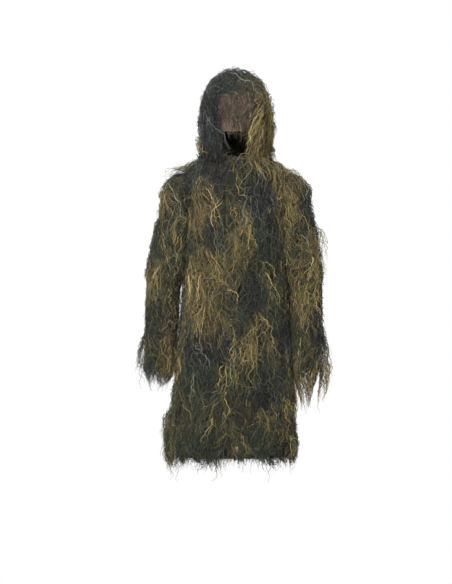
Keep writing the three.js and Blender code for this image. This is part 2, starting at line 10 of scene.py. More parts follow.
import bmesh
import bpy
import numpy as np
from mathutils import Vector
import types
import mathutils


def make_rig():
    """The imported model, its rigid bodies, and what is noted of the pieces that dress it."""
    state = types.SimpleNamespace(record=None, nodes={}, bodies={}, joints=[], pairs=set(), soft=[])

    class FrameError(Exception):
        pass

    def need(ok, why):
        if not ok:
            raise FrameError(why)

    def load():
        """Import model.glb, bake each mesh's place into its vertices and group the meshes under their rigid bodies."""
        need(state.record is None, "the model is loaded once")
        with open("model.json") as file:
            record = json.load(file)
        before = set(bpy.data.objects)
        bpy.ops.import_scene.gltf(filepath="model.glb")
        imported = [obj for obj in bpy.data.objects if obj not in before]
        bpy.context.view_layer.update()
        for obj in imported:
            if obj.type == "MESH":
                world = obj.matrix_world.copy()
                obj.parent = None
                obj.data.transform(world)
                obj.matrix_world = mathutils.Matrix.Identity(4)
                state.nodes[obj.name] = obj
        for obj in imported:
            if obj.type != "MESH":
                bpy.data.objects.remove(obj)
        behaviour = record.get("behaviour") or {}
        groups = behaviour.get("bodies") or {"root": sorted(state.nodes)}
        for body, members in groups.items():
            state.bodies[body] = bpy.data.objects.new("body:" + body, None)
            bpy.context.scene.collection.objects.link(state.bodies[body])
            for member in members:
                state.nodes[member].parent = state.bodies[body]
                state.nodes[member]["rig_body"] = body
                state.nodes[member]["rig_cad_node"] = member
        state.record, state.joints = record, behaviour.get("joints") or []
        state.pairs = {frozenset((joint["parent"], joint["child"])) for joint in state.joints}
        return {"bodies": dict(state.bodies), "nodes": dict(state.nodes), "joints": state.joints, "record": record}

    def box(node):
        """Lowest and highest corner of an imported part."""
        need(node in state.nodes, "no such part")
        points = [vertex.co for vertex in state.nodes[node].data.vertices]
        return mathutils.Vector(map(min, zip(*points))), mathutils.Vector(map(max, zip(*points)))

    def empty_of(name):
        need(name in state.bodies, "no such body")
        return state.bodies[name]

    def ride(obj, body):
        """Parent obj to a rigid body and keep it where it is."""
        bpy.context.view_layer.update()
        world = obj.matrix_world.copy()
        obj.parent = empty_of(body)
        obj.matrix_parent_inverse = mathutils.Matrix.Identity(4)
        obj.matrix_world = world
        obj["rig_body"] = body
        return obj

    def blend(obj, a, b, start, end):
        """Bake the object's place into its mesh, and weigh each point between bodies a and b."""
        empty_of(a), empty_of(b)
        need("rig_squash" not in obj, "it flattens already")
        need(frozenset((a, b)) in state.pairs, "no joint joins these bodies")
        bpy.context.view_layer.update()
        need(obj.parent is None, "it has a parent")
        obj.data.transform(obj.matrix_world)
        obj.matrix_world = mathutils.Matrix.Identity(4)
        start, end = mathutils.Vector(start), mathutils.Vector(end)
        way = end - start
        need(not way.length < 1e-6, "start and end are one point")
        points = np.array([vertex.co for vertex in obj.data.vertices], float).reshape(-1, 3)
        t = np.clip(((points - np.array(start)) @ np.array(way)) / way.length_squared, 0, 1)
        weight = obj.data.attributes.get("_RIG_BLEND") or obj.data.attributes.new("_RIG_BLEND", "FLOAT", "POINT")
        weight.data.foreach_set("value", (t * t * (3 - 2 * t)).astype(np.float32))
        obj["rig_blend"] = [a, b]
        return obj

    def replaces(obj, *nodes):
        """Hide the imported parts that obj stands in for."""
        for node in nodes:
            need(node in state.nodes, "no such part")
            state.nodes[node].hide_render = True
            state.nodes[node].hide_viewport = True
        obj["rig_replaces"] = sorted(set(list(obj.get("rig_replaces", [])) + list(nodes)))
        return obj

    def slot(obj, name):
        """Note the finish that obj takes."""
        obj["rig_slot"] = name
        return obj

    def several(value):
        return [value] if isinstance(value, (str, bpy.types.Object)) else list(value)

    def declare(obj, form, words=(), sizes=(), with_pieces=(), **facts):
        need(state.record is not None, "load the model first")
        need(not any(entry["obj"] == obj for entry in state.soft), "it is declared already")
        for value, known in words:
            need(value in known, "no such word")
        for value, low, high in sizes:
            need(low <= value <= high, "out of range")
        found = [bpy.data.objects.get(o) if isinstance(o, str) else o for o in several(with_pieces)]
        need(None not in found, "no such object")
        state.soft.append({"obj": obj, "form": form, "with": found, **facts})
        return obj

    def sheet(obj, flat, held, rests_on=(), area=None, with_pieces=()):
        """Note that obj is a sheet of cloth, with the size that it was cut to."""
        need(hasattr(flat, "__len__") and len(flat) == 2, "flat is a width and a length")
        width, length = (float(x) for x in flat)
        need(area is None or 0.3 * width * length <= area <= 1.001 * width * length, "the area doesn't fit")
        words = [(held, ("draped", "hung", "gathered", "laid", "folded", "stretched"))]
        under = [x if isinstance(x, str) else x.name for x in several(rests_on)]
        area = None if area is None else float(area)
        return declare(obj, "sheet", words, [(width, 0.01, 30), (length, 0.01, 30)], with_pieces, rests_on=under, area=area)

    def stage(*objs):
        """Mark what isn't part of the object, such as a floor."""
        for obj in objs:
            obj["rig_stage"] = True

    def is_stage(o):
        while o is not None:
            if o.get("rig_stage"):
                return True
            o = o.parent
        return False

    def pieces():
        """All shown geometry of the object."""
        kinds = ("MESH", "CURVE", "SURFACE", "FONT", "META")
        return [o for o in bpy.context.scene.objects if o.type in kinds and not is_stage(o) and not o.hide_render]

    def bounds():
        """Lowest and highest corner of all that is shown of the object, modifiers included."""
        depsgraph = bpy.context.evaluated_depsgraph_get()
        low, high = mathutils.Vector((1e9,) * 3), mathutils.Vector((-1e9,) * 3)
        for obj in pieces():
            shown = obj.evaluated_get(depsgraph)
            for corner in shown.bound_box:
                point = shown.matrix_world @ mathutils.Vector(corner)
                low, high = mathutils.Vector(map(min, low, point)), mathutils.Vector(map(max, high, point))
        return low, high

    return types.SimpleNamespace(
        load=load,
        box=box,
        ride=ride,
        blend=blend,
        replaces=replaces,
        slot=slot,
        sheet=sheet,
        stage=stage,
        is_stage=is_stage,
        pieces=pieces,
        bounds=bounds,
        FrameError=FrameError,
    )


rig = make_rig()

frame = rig.load()
CAD_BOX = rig.bounds()

# ---- Places taken from the frame ----

HEM_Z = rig.box("back_panel")[0].z
YOKE_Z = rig.box("back_panel")[1].z
NECK_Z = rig.box("shoulder_yoke")[1].z
HOOD_BASE_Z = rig.box("hood_left_panel")[0].z
HOOD_TOP_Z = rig.box("hood_crown_panel")[1].z
FLAP_LOW, FLAP_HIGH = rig.box("placket_flap")
FRONT_SEAM_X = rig.box("front_left_panel")[1].x
FACE_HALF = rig.box("hood_rim_elastic")[1].x - 0.007
BROW_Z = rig.box("hood_rim_elastic")[1].z - 0.007
VEIL_LOW, VEIL_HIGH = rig.box("face_veil")
JOINT_AT = {joint["name"]: np.array(joint["pos_m"]) for joint in frame["joints"]}

# ---- Body and hood sections ----

SQUARENESS = 2.4
HOOD_SQUARENESS = 2.2
DOWN = np.array([0.0, 0.0, -1.0])
UP = -DOWN

# Each row: height, half width, half depth, and the middle's x.
CHEST = (0.150, 0.133)
WAIST_Z = YOKE_Z + 0.37 * (HEM_Z - YOKE_Z)
TORSO = np.array([
    (HEM_Z, 0.203, 0.152, -0.012),
    ((HEM_Z + WAIST_Z) / 2, 0.179, 0.1415, -0.006),
    (WAIST_Z, CHEST[0] + 0.005, CHEST[1] - 0.002, 0),
    (YOKE_Z - 0.170, CHEST[0], CHEST[1], 0),
    (YOKE_Z - 0.070, CHEST[0] + 0.006, CHEST[1] - 0.010, 0),
    (YOKE_Z - 0.022, CHEST[0] + 0.011, CHEST[1] - 0.020, 0),
    (YOKE_Z + 0.008, CHEST[0] + 0.008, CHEST[1] - 0.028, 0),
    (YOKE_Z + 0.039, 0.118, 0.0885, 0),
    (NECK_Z, 0.078, 0.072, 0),
])
HOOD_HALF = (0.101, 0.114)
DOME_Z = HOOD_TOP_Z - HOOD_HALF[1]
CROWN_HALF = 0.032  # half the width of the strip over the crown
# Each row: height, half width, half depth, and the middle's y.
HOOD = np.array([
    (HOOD_BASE_Z, HOOD_HALF[0] - 0.008, HOOD_HALF[1] - 0.022, 0),
    (HOOD_BASE_Z + 0.050, HOOD_HALF[0] - 0.002, HOOD_HALF[1] - 0.009, 0),
    (HOOD_BASE_Z + 0.105, HOOD_HALF[0], HOOD_HALF[1] - 0.002, 0.001),
    (DOME_Z, HOOD_HALF[0], HOOD_HALF[1], 0.003),
])


def unit(vectors):
    return vectors / np.maximum(np.linalg.norm(vectors, axis=-1, keepdims=True), 1e-9)


def section_at(rows, z):
    """The three measures after the height in a table of sections, at each z."""
    return (np.interp(z, rows[:, 0], rows[:, i]) for i in (1, 2, 3))


def rounded(angle, squareness):
    """The cosine and sine round a rounded rectangle; a squareness of 2 gives an oval."""
    power = 2 / squareness
    cosine = np.sign(np.cos(angle)) * np.abs(np.cos(angle)) ** power
    sine = np.sign(np.sin(angle)) * np.abs(np.sin(angle)) ** power
    return cosine, sine


def slopes(rows):
    """How far each row's wall leans: 1 where it is upright, less where it slopes."""
    rise = np.gradient(rows[:, 0])
    spread = np.gradient((rows[:, 1] + rows[:, 2]) / 2)
    return rise / np.hypot(rise, spread)


TORSO_SLOPES = slopes(TORSO)


def torso_gap(points):
    """How far each point is outside the body's shell."""
    z = points[:, 2]
    wide, deep, middle = section_at(TORSO, z)
    lean = np.interp(z, TORSO[:, 0], TORSO_SLOPES)
    across = np.abs(points[:, 0] - middle)
    along = np.abs(points[:, 1])
    level = ((across / wide) ** SQUARENESS + (along / deep) ** SQUARENESS) ** (1 / SQUARENESS)
    gap = np.hypot(across, along) * (1 - 1 / np.maximum(level, 0.05)) * lean
    above = z - NECK_Z
    return np.where(above > 0, np.hypot(np.maximum(gap, 0), above), gap)


def hood_gap(points):
    """How far each point is outside the hood's shell."""
    z = points[:, 2]
    wide, deep, middle = section_at(HOOD, z)
    across = np.abs(points[:, 0])
    along = np.abs(points[:, 1] - middle)
    power = HOOD_SQUARENESS
    flat = ((across / wide) ** power + (along / deep) ** power) ** (1 / power)
    rise = np.maximum(z - DOME_Z, 0)
    level = np.hypot(flat, rise / HOOD_HALF[1])
    reach = np.sqrt(across**2 + along**2 + rise**2)
    return reach * (1 - 1 / np.maximum(level, 0.05))


CAP_R = 0.066
CAP_END = CAP_R / 2
UPPER_R = (0.057, 0.052)
FOREARM_R = (0.045, 0.041)
CUFFS = {"left": (0.238, -0.014), "right": (-0.262, -0.014)}
CUFF_Z = -0.681


def arm_points(side):
    cuff = np.array([*CUFFS[side], CUFF_Z])
    return JOINT_AT[f"shoulder_{side}"], JOINT_AT[f"elbow_{side}"], cuff


# Each part: where its tube starts, its radii there and at its end, how far past its end it
# closes in and to what radius, and the radius of the ball at its start.
SLEEVES = {
    "upper": (CAP_END, UPPER_R, 0.08, 0.010, CAP_R),
    "lower": (0, FOREARM_R, 0.12, 0.015, FOREARM_R[0]),
}


def sleeve_ends(side, part):
    shoulder, elbow, cuff = arm_points(side)
    return (shoulder, elbow) if part == "upper" else (elbow, cuff)


def sleeve_gap(points, side, part):
    """How far each point is outside a sleeve part: a ball, then a tapering tube."""
    tube_start, radii, closing, closed_radius, ball = SLEEVES[part]
    start, end = sleeve_ends(side, part)
    axis = end - start
    length = np.linalg.norm(axis)
    offset = points - start
    along = offset @ (axis / length)
    radial = np.linalg.norm(offset - along[:, None] * axis / length, axis=1)
    places = [tube_start, length, length + closing]
    tube = radial - np.interp(along, places, [*radii, closed_radius])
    return np.where(along < tube_start, np.linalg.norm(offset, axis=1) - ball, tube)


GAPS = {"torso": torso_gap, "hood": hood_gap}
for part_name in SLEEVES:
    for side_name in CUFFS:
        gap_of_part = partial(sleeve_gap, side=side_name, part=part_name)
        GAPS[f"{part_name}_{side_name}"] = gap_of_part


def gap_to(points, solids):
    return np.min([GAPS[name](points) for name in solids], axis=0)


def gap_and_away(points, solids):
    """The gap to the nearest of the solids, and the direction that leads away from it."""
    gap = gap_to(points, solids)
    probe = 0.001
    away = np.stack([gap_to(points + probe * axis, solids) - gap for axis in np.eye(3)], axis=1)
    return gap, unit(away)


# ---- Meshes ----


def placed(name, data):
    """A new object in the scene that holds a mesh, lamp or camera."""
    obj = bpy.data.objects.new(name, data)
    bpy.context.scene.collection.objects.link(obj)
    return obj


def smooth(obj):
    obj.data.shade_smooth()
    return obj


def mesh_object(name, points, faces, uv=None):
    mesh = bpy.data.meshes.new(name)
    mesh.from_pydata([tuple(p) for p in points], [], [tuple(int(i) for i in f) for f in faces])
    if uv is not None:
        layer = mesh.uv_layers.new(name="OFBake")
        corner_points = np.empty(len(mesh.loops), np.int32)
        mesh.loops.foreach_get("vertex_index", corner_points)
        layer.data.foreach_set("uv", np.asarray(uv, np.float32)[corner_points].ravel())
    mesh.update()
    return smooth(placed(name, mesh))


CLOTH_UV = 1.3  # metres of cloth in one unit of its UV map


def cloth_uv(across, down):
    """A cloth UV for each point of a grid, from the distances across it and down it."""
    u, v = np.meshgrid(across, down)
    return np.stack([u, v], axis=-1).reshape(-1, 2) / CLOTH_UV + 0.01


def grid_faces(rows, columns):
    """The point numbers of a grid, and its faces as (rows - 1, columns - 1, 4)."""
    index = np.arange(rows * columns).reshape(rows, columns)
    corners = [index[:-1, :-1], index[:-1, 1:], index[1:, 1:], index[1:, :-1]]
    return index, np.stack(corners, axis=-1)


def run_along(line):
    """The distance along a line at each of its points."""
    return np.r_[0, np.cumsum(np.linalg.norm(np.diff(line, axis=0), axis=1))]


def points_at(line, places):
    """The points at some distances along a line."""
    run = run_along(line)
    return np.stack([np.interp(places, run, line[:, i]) for i in range(3)], axis=1)


def grid_object(name, points, thickness, keep=None):
    """A sheet from a grid of points (rows, columns, 3), made solid, with UVs in true proportion."""
    rows, columns = points.shape[:2]
    right = np.linalg.norm(np.diff(points, axis=1), axis=2).mean(0)
    rise = np.linalg.norm(np.diff(points, axis=0), axis=2).mean(1)
    uv = cloth_uv(np.r_[0, np.cumsum(right)], np.r_[0, np.cumsum(rise)])
    _, faces = grid_faces(rows, columns)
    faces = faces[keep] if keep is not None else faces.reshape(-1, 4)
    used, faces = np.unique(faces, return_inverse=True)
    obj = mesh_object(name, points.reshape(-1, 3)[used], faces.reshape(-1, 4), uv[used])
    solidify = obj.modifiers.new("thickness", "SOLIDIFY")
    solidify.thickness = thickness
    solidify.offset = 0
    return obj


def sheet_area(obj):
    return sum(face.area for face in obj.data.polygons)


def declare_sheet(obj, held, rests_on):
    """Declares a sheet whose cut is its own outline, laid flat."""
    uv = np.empty(len(obj.data.loops) * 2, np.float32)
    obj.data.uv_layers["OFBake"].data.foreach_get("uv", uv)
    wide, tall = np.ptp(uv.reshape(-1, 2), axis=0) * CLOTH_UV
    area = min(sheet_area(obj), float(wide * tall))
    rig.sheet(obj, flat=(float(wide), float(tall)), held=held, rests_on=rests_on, area=area)


# ---- Materials ----


def linear(red, green, blue):
    """A linear colour from one as seen on a screen, 0 to 255."""
    share = np.array([red, green, blue]) / 255
    return np.where(share <= 0.04045, share / 12.92, ((share + 0.055) / 1.055) ** 2.4)


class Nodes:
    """A short way to add and join shader nodes."""

    def __init__(self, name, roughness, metallic=0.0, sheen=0.0):
        self.material = bpy.data.materials.new(name)
        self.material.use_nodes = True
        self.tree = self.material.node_tree
        self.shader = self.tree.nodes["Principled BSDF"]
        self.shader.inputs["Roughness"].default_value = roughness
        self.shader.inputs["Metallic"].default_value = metallic
        self.shader.inputs["Sheen Weight"].default_value = sheen
        self.shader.inputs["Specular IOR Level"].default_value = 0.25 if metallic == 0 else 0.5

    def add(self, kind, **settings):
        node = self.tree.nodes.new(kind)
        for key, value in settings.items():
            if key.startswith("in_"):
                socket = key[3:].replace("_", " ")
                node.inputs[socket].default_value = value
            else:
                setattr(node, key, value)
        return node

    def join(self, output, target):
        self.tree.links.new(output, target)

    def uv(self, scale, name="OFBake"):
        """The UV map, scaled along u and v."""
        source = self.add("ShaderNodeUVMap", uv_map=name)
        mapping = self.add("ShaderNodeMapping")
        mapping.inputs["Scale"].default_value = (*scale, 1)
        self.join(source.outputs["UV"], mapping.inputs["Vector"])
        return mapping.outputs["Vector"]

    def noise(self, vector, scale, detail=3.0):
        node = self.add("ShaderNodeTexNoise", in_Scale=scale, in_Detail=detail)
        self.join(vector, node.inputs["Vector"])
        return node.outputs["Fac"]

    def wave(self, vector, scale, direction, distortion=0.0):
        node = self.add("ShaderNodeTexWave", bands_direction=direction, in_Scale=scale)
        node.inputs["Distortion"].default_value = distortion
        self.join(vector, node.inputs["Vector"])
        return node.outputs["Fac"]

    def ramp(self, factor, stops, constant=False):
        node = self.add("ShaderNodeValToRGB")
        if constant:
            node.color_ramp.interpolation = "CONSTANT"
        points = node.color_ramp.elements
        while len(points) < len(stops):
            points.new(0.5)
        for point, (place, colour) in zip(points, stops):
            point.position = place
            point.color = (*colour, 1)
        self.join(factor, node.inputs["Fac"])
        return node.outputs["Color"]

    def mix(self, factor, first, second, blend="MIX"):
        node = self.add("ShaderNodeMix", data_type="RGBA", blend_type=blend)
        for value, place in ((factor, 0), (first, 6), (second, 7)):
            socket = node.inputs[place]
            if isinstance(value, bpy.types.NodeSocket):
                self.join(value, socket)
            else:
                socket.default_value = value if isinstance(value, float) else (*value, 1)
        return node.outputs[2]

    def maths(self, operation, first, second):
        node = self.add("ShaderNodeMath", operation=operation)
        for value, socket in ((first, node.inputs[0]), (second, node.inputs[1])):
            if isinstance(value, bpy.types.NodeSocket):
                self.join(value, socket)
            else:
                socket.default_value = value
        return node.outputs[0]

    def colour(self, output):
        self.join(output, self.shader.inputs["Base Color"])

    def bump(self, height, distance, strength):
        node = self.add("ShaderNodeBump", in_Strength=strength, in_Distance=distance)
        self.join(height, node.inputs["Height"])
        self.join(node.outputs["Normal"], self.shader.inputs["Normal"])

    def woven(self, base, height, darkest, share, distance, strength):
        """Thread height over a base colour: darker between the threads, and raised on them."""
        shade = self.ramp(height, [(0, (darkest, darkest, darkest)), (1, (1, 1, 1))])
        self.colour(self.mix(share, base, shade, "MULTIPLY"))
        self.bump(height, distance, strength)
        return self.material


WOODLAND = (linear(52, 54, 38), linear(78, 76, 50), linear(66, 54, 38), linear(34, 35, 30))


def weave(nodes, threads_per_metre):
    """The cloth's own coordinates, and the height of its crossed threads."""
    vector = nodes.uv((CLOTH_UV, CLOTH_UV))
    scale = threads_per_metre / math.tau * math.pi / 2
    warp = nodes.wave(vector, scale, "X", 0.4)
    weft = nodes.wave(vector, scale, "Y", 0.4)
    return vector, nodes.maths("MAXIMUM", warp, weft)


def netting_material():
    """Coarse mesh netting with a worn woodland print."""
    nodes = Nodes("netting", 0.9, sheen=0.1)
    vector, height = weave(nodes, 420)
    print_map = nodes.noise(vector, 9, 4)
    colours = [(0, WOODLAND[3]), (0.42, WOODLAND[0]), (0.5, WOODLAND[1]), (0.6, WOODLAND[2])]
    printed = nodes.ramp(print_map, colours, constant=True)
    return nodes.woven(printed, height, 0.45, 0.85, 0.0006, 0.6)


def plain_cloth_material(name, colour, threads, roughness=0.88):
    """Plain woven cloth with slight fading."""
    nodes = Nodes(name, roughness, sheen=0.15)
    vector, height = weave(nodes, threads)
    faded = nodes.ramp(nodes.noise(vector, 30), [(0.3, colour * 0.75), (0.75, colour * 1.25)])
    return nodes.woven(faded, height, 0.6, 0.8, 0.0004, 0.5)


def ribbed_material(name, colour, ribs_per_metre, direction):
    """Tape or elastic: ribs one way, with a faint cross weave."""
    nodes = Nodes(name, 0.82, sheen=0.1)
    vector = nodes.uv((CLOTH_UV, CLOTH_UV))
    ribs = nodes.wave(vector, ribs_per_metre / 4, direction, 0.2)
    worn = nodes.ramp(nodes.noise(vector, 60), [(0.3, colour * 0.8), (0.7, colour * 1.2)])
    return nodes.woven(worn, ribs, 0.5, 0.8, 0.0005, 0.7)


def metal_material():
    """Blackened brass, rubbed brighter in places."""
    nodes = Nodes("blackened_brass", 0.42, metallic=0.9)
    source = nodes.add("ShaderNodeTexCoord").outputs["Object"]
    rubbed = nodes.noise(source, 260, 5)
    colours = [(0.4, linear(44, 42, 36)), (0.62, linear(70, 64, 50)), (0.8, linear(120, 104, 72))]
    nodes.colour(nodes.ramp(rubbed, colours))
    rough = nodes.ramp(rubbed, [(0.3, (0.55, 0.55, 0.55)), (0.8, (0.32, 0.32, 0.32))])
    nodes.join(rough, nodes.shader.inputs["Roughness"])
    return nodes.material


def yarn_material():
    """Spun yarn: each strand's own colour, darker between its twisted plies."""
    nodes = Nodes("yarn", 0.92, sheen=0.2)
    own = nodes.add("ShaderNodeAttribute", attribute_name="tone").outputs["Color"]
    vector = nodes.uv((1, 1), "twist")
    plies = nodes.wave(vector, 1 / math.tau * math.pi / 2 * 4, "DIAGONAL", 1.5)
    fuzz = nodes.noise(vector, 3.0, 4)
    colours = [(0, (0.62, 0.62, 0.62)), (0.45, (1.12, 1.1, 1.05))]
    shade = nodes.ramp(nodes.maths("MULTIPLY", plies, fuzz), colours)
    nodes.colour(nodes.mix(1.0, own, shade, "MULTIPLY"))
    nodes.bump(plies, 0.0004, 0.6)
    return nodes.material


MATERIALS = {
    "netting": netting_material(),
    "lining": plain_cloth_material("lining_cloth", linear(48, 50, 38), 700),
    "tape": ribbed_material("ribbed_tape", linear(58, 60, 44), 500, "X"),
    "elastic": ribbed_material("woven_elastic", linear(38, 38, 36), 700, "Y"),
    "snap_metal": metal_material(),
    "yarn_dark": yarn_material(),
    "thread": plain_cloth_material("sewing_thread", linear(30, 31, 26), 900),
}
for same in ("yarn_olive", "yarn_tan", "veil_net"):
    MATERIALS[same] = MATERIALS["yarn_dark"]


def dress(obj, slot_name):
    obj.data.materials.append(MATERIALS[slot_name])
    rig.slot(obj, slot_name)
    return obj


# ---- Camouflage ----

YARN = {
    "charcoal": linear(42, 45, 45),
    "steel": linear(108, 116, 114),
    "green": linear(58, 68, 52),
    "olive": linear(101, 97, 59),
    "tan": linear(160, 139, 88),
    "straw": linear(190, 173, 130),
    "brown": linear(58, 43, 39),
}
MIXES = {
    "dark": {"charcoal": 0.62, "steel": 0.14, "green": 0.11, "brown": 0.13},
    "green": {"green": 0.60, "charcoal": 0.18, "olive": 0.18, "steel": 0.04},
    "tan": {"tan": 0.56, "olive": 0.26, "straw": 0.05, "green": 0.06, "brown": 0.07},
    "mixed": {"olive": 0.36, "green": 0.30, "charcoal": 0.20, "tan": 0.12, "straw": 0.02},
}

# Patches on the front: x and z of the middle, half width, half height, and the mix.
FRONT_PATCHES = (
    (-0.148, -0.010, 0.045, 0.050, "tan"),
    (-0.120, -0.169, 0.076, 0.079, "tan"),
    (-0.098, -0.440, 0.058, 0.165, "tan"),
    (-0.241, -0.165, 0.032, 0.045, "tan"),
    (-0.267, -0.404, 0.036, 0.070, "tan"),
    (-0.213, -0.669, 0.060, 0.075, "tan"),
    (0.201, -0.055, 0.090, 0.052, "tan"),
    (0.177, -0.158, 0.040, 0.095, "tan"),
    (0.024, -0.268, 0.045, 0.115, "tan"),
    (0.239, -0.411, 0.046, 0.140, "tan"),
    (0.237, -0.745, 0.050, 0.090, "tan"),
    (0.046, -0.623, 0.044, 0.078, "tan"),
    (0.162, -0.867, 0.040, 0.030, "tan"),
    (0.083, 0.112, 0.045, 0.095, "tan"),
    (0.062, 0.010, 0.036, 0.055, "tan"),
    (-0.064, -0.030, 0.042, 0.075, "dark"),
    (-0.130, 0.120, 0.026, 0.110, "mixed"),
    (-0.234, -0.060, 0.036, 0.055, "dark"),
    (-0.189, -0.134, 0.026, 0.072, "dark"),
    (-0.067, -0.228, 0.034, 0.038, "dark"),
    (-0.133, -0.289, 0.034, 0.048, "green"),
    (0.067, -0.129, 0.072, 0.110, "dark"),
    (0.268, -0.151, 0.056, 0.070, "dark"),
    (0.038, -0.471, 0.052, 0.082, "dark"),
    (-0.074, -0.655, 0.088, 0.070, "dark"),
    (0.153, -0.604, 0.038, 0.088, "dark"),
    (0.268, -0.566, 0.028, 0.085, "dark"),
    (0.084, -0.803, 0.045, 0.050, "dark"),
    (-0.060, 0.200, 0.080, 0.150, "dark"),
    (0.020, 0.300, 0.090, 0.050, "dark"),
)
BACK_MIXES = ("dark", "tan", "mixed", "green", "tan", "dark", "mixed")
FALL = 0.065  # a strand's middle hangs about this far below its knot


def back_patches():
    """Blobs over the back, sides and the back of hood and sleeves, on a loose grid."""
    rng = np.random.default_rng(11)
    centres = []
    for row, z in enumerate(np.arange(0.28, -1.0, -0.115)):
        for column in range(6):
            x = (column - 2.5) * 0.125 + (0.06 if row % 2 else 0)
            centres.append((x, 0.10, z))
    centres = np.array(centres) + rng.normal(0, 0.022, (len(centres), 3))
    sizes = rng.uniform(0.055, 0.105, len(centres))
    kinds = [BACK_MIXES[i] for i in rng.integers(0, len(BACK_MIXES), len(centres))]
    return centres, sizes, kinds


BACK_CENTRES, BACK_SIZES, BACK_KINDS = back_patches()


def mixes_at(knots, rng):
    """The mix that each knot's yarn is taken from, by the patch that its strands hang in."""
    hang = knots + DOWN * FALL
    x, z = hang[:, 0], hang[:, 2]
    front = np.array([
        1 - ((x - px) / wide) ** 2 - ((z - pz) / tall) ** 2 for px, pz, wide, tall, _ in FRONT_PATCHES
    ])
    apart = hang[:, None, :] - BACK_CENTRES[None, :, :]
    apart[:, :, 1] = 0
    back = 1 - (np.linalg.norm(apart, axis=2) / BACK_SIZES).T ** 2
    edge = 0.18
    names = []
    for i in range(len(knots)):
        facing_front = knots[i, 1] < 0.03
        scores = front[:, i] if facing_front else back[:, i]
        kinds = [patch[4] for patch in FRONT_PATCHES] if facing_front else BACK_KINDS
        best = int(np.argmax(scores))
        between = "mixed" if math.sin(31 * x[i] + 2) + math.sin(27 * z[i]) > -0.3 else "green"
        names.append(kinds[best] if scores[best] + rng.uniform(-edge, edge) > 0 else between)
    return names


# ---- Yarn ----

SEGMENTS = 18
EASE = 0.02  # how far before the largest size the strands begin to be eased back
YARN_R = 0.00096
TWIST_PITCH = 0.008  # metres of yarn in one unit of its twist UV map


def grow(root, heading, length, lift, solids, per_knot, rng):
    """Strand paths that leave their knots, fall, and lie on the solids at their own lift."""
    step = length[:, None] / SEGMENTS
    point = root.copy()
    path = [point]
    knots = len(root) // per_knot
    drift = rng.normal(0, 0.12, root.shape)
    common = rng.normal(0, 0.16, (knots, 3))
    for k in range(SEGMENTS):
        droop = 0.18 + 0.16 * min(1, k / 5)
        drift = drift * 0.72 + rng.normal(0, 0.09, root.shape)
        common = common * 0.80 + rng.normal(0, 0.10, common.shape)
        together = np.repeat(common, per_knot, axis=0)
        heading = unit(heading * (1 - droop) + DOWN * droop + drift + together)
        ahead = point + step * heading
        gap, away = gap_and_away(ahead, solids)
        wanted = lift * min(1.0, (k + 1) / 3)
        ahead += away * np.clip(wanted - gap, 0, 0.03)[:, None]
        ahead -= away * (np.clip(gap - wanted - 0.004, 0, 0.02) * 0.6)[:, None]
        heading = unit(ahead - point)
        point = point + step * heading
        path.append(point)
    return np.stack(path, axis=1)


def curl(paths, amplitude, wavelength, phase, length, rng):
    """Paths with a growing long wave across them, and a short crinkle on top of it."""
    share = np.linspace(0, 1, SEGMENTS + 1)[None, :, None]
    along = unit(np.gradient(paths, axis=1))
    across = unit(np.cross(along, unit(rng.normal(size=(len(paths), 1, 3)))))
    over = np.cross(along, across)
    turn = math.tau * share * (length / wavelength)[:, None, None] + phase[:, None, None]
    swing = amplitude[:, None, None] * share**0.7
    waved = paths + swing * (np.cos(turn) * across + 0.7 * np.sin(turn * 1.13) * over)
    crinkle = rng.uniform(0.0008, 0.0032, (len(paths), 1, 1)) * np.minimum(1, share * 5)
    return inside_allowance(waved + crinkle * rng.normal(0, 1, paths.shape))


ALLOWANCE_KEPT = 0.003  # of the allowance past the CAD box, left unused


def inside_allowance(points):
    """The points, eased back where they come near the largest size the looks may have."""
    low, high = (np.array(corner) for corner in CAD_BOX)
    room = (high - low) * 0.03 + 0.010 - ALLOWANCE_KEPT
    for corner, way in ((low - room, -1), (high + room, 1)):
        start = corner - way * EASE
        beyond = np.clip((points - start) * way, 0, None)
        points = np.where(beyond > 0, start + way * EASE * np.tanh(beyond / EASE), points)
    return points


def two_triangles(*corners):
    """Two triangles for each four-cornered wall, from arrays of its corners' values."""
    walls = np.stack(corners, axis=-1).reshape(-1, 4)
    return np.concatenate([walls[:, [0, 1, 2]], walls[:, [0, 2, 3]]])


def set_all(layer, kind, values, dtype=np.float32):
    layer.foreach_set(kind, values.astype(dtype).ravel())


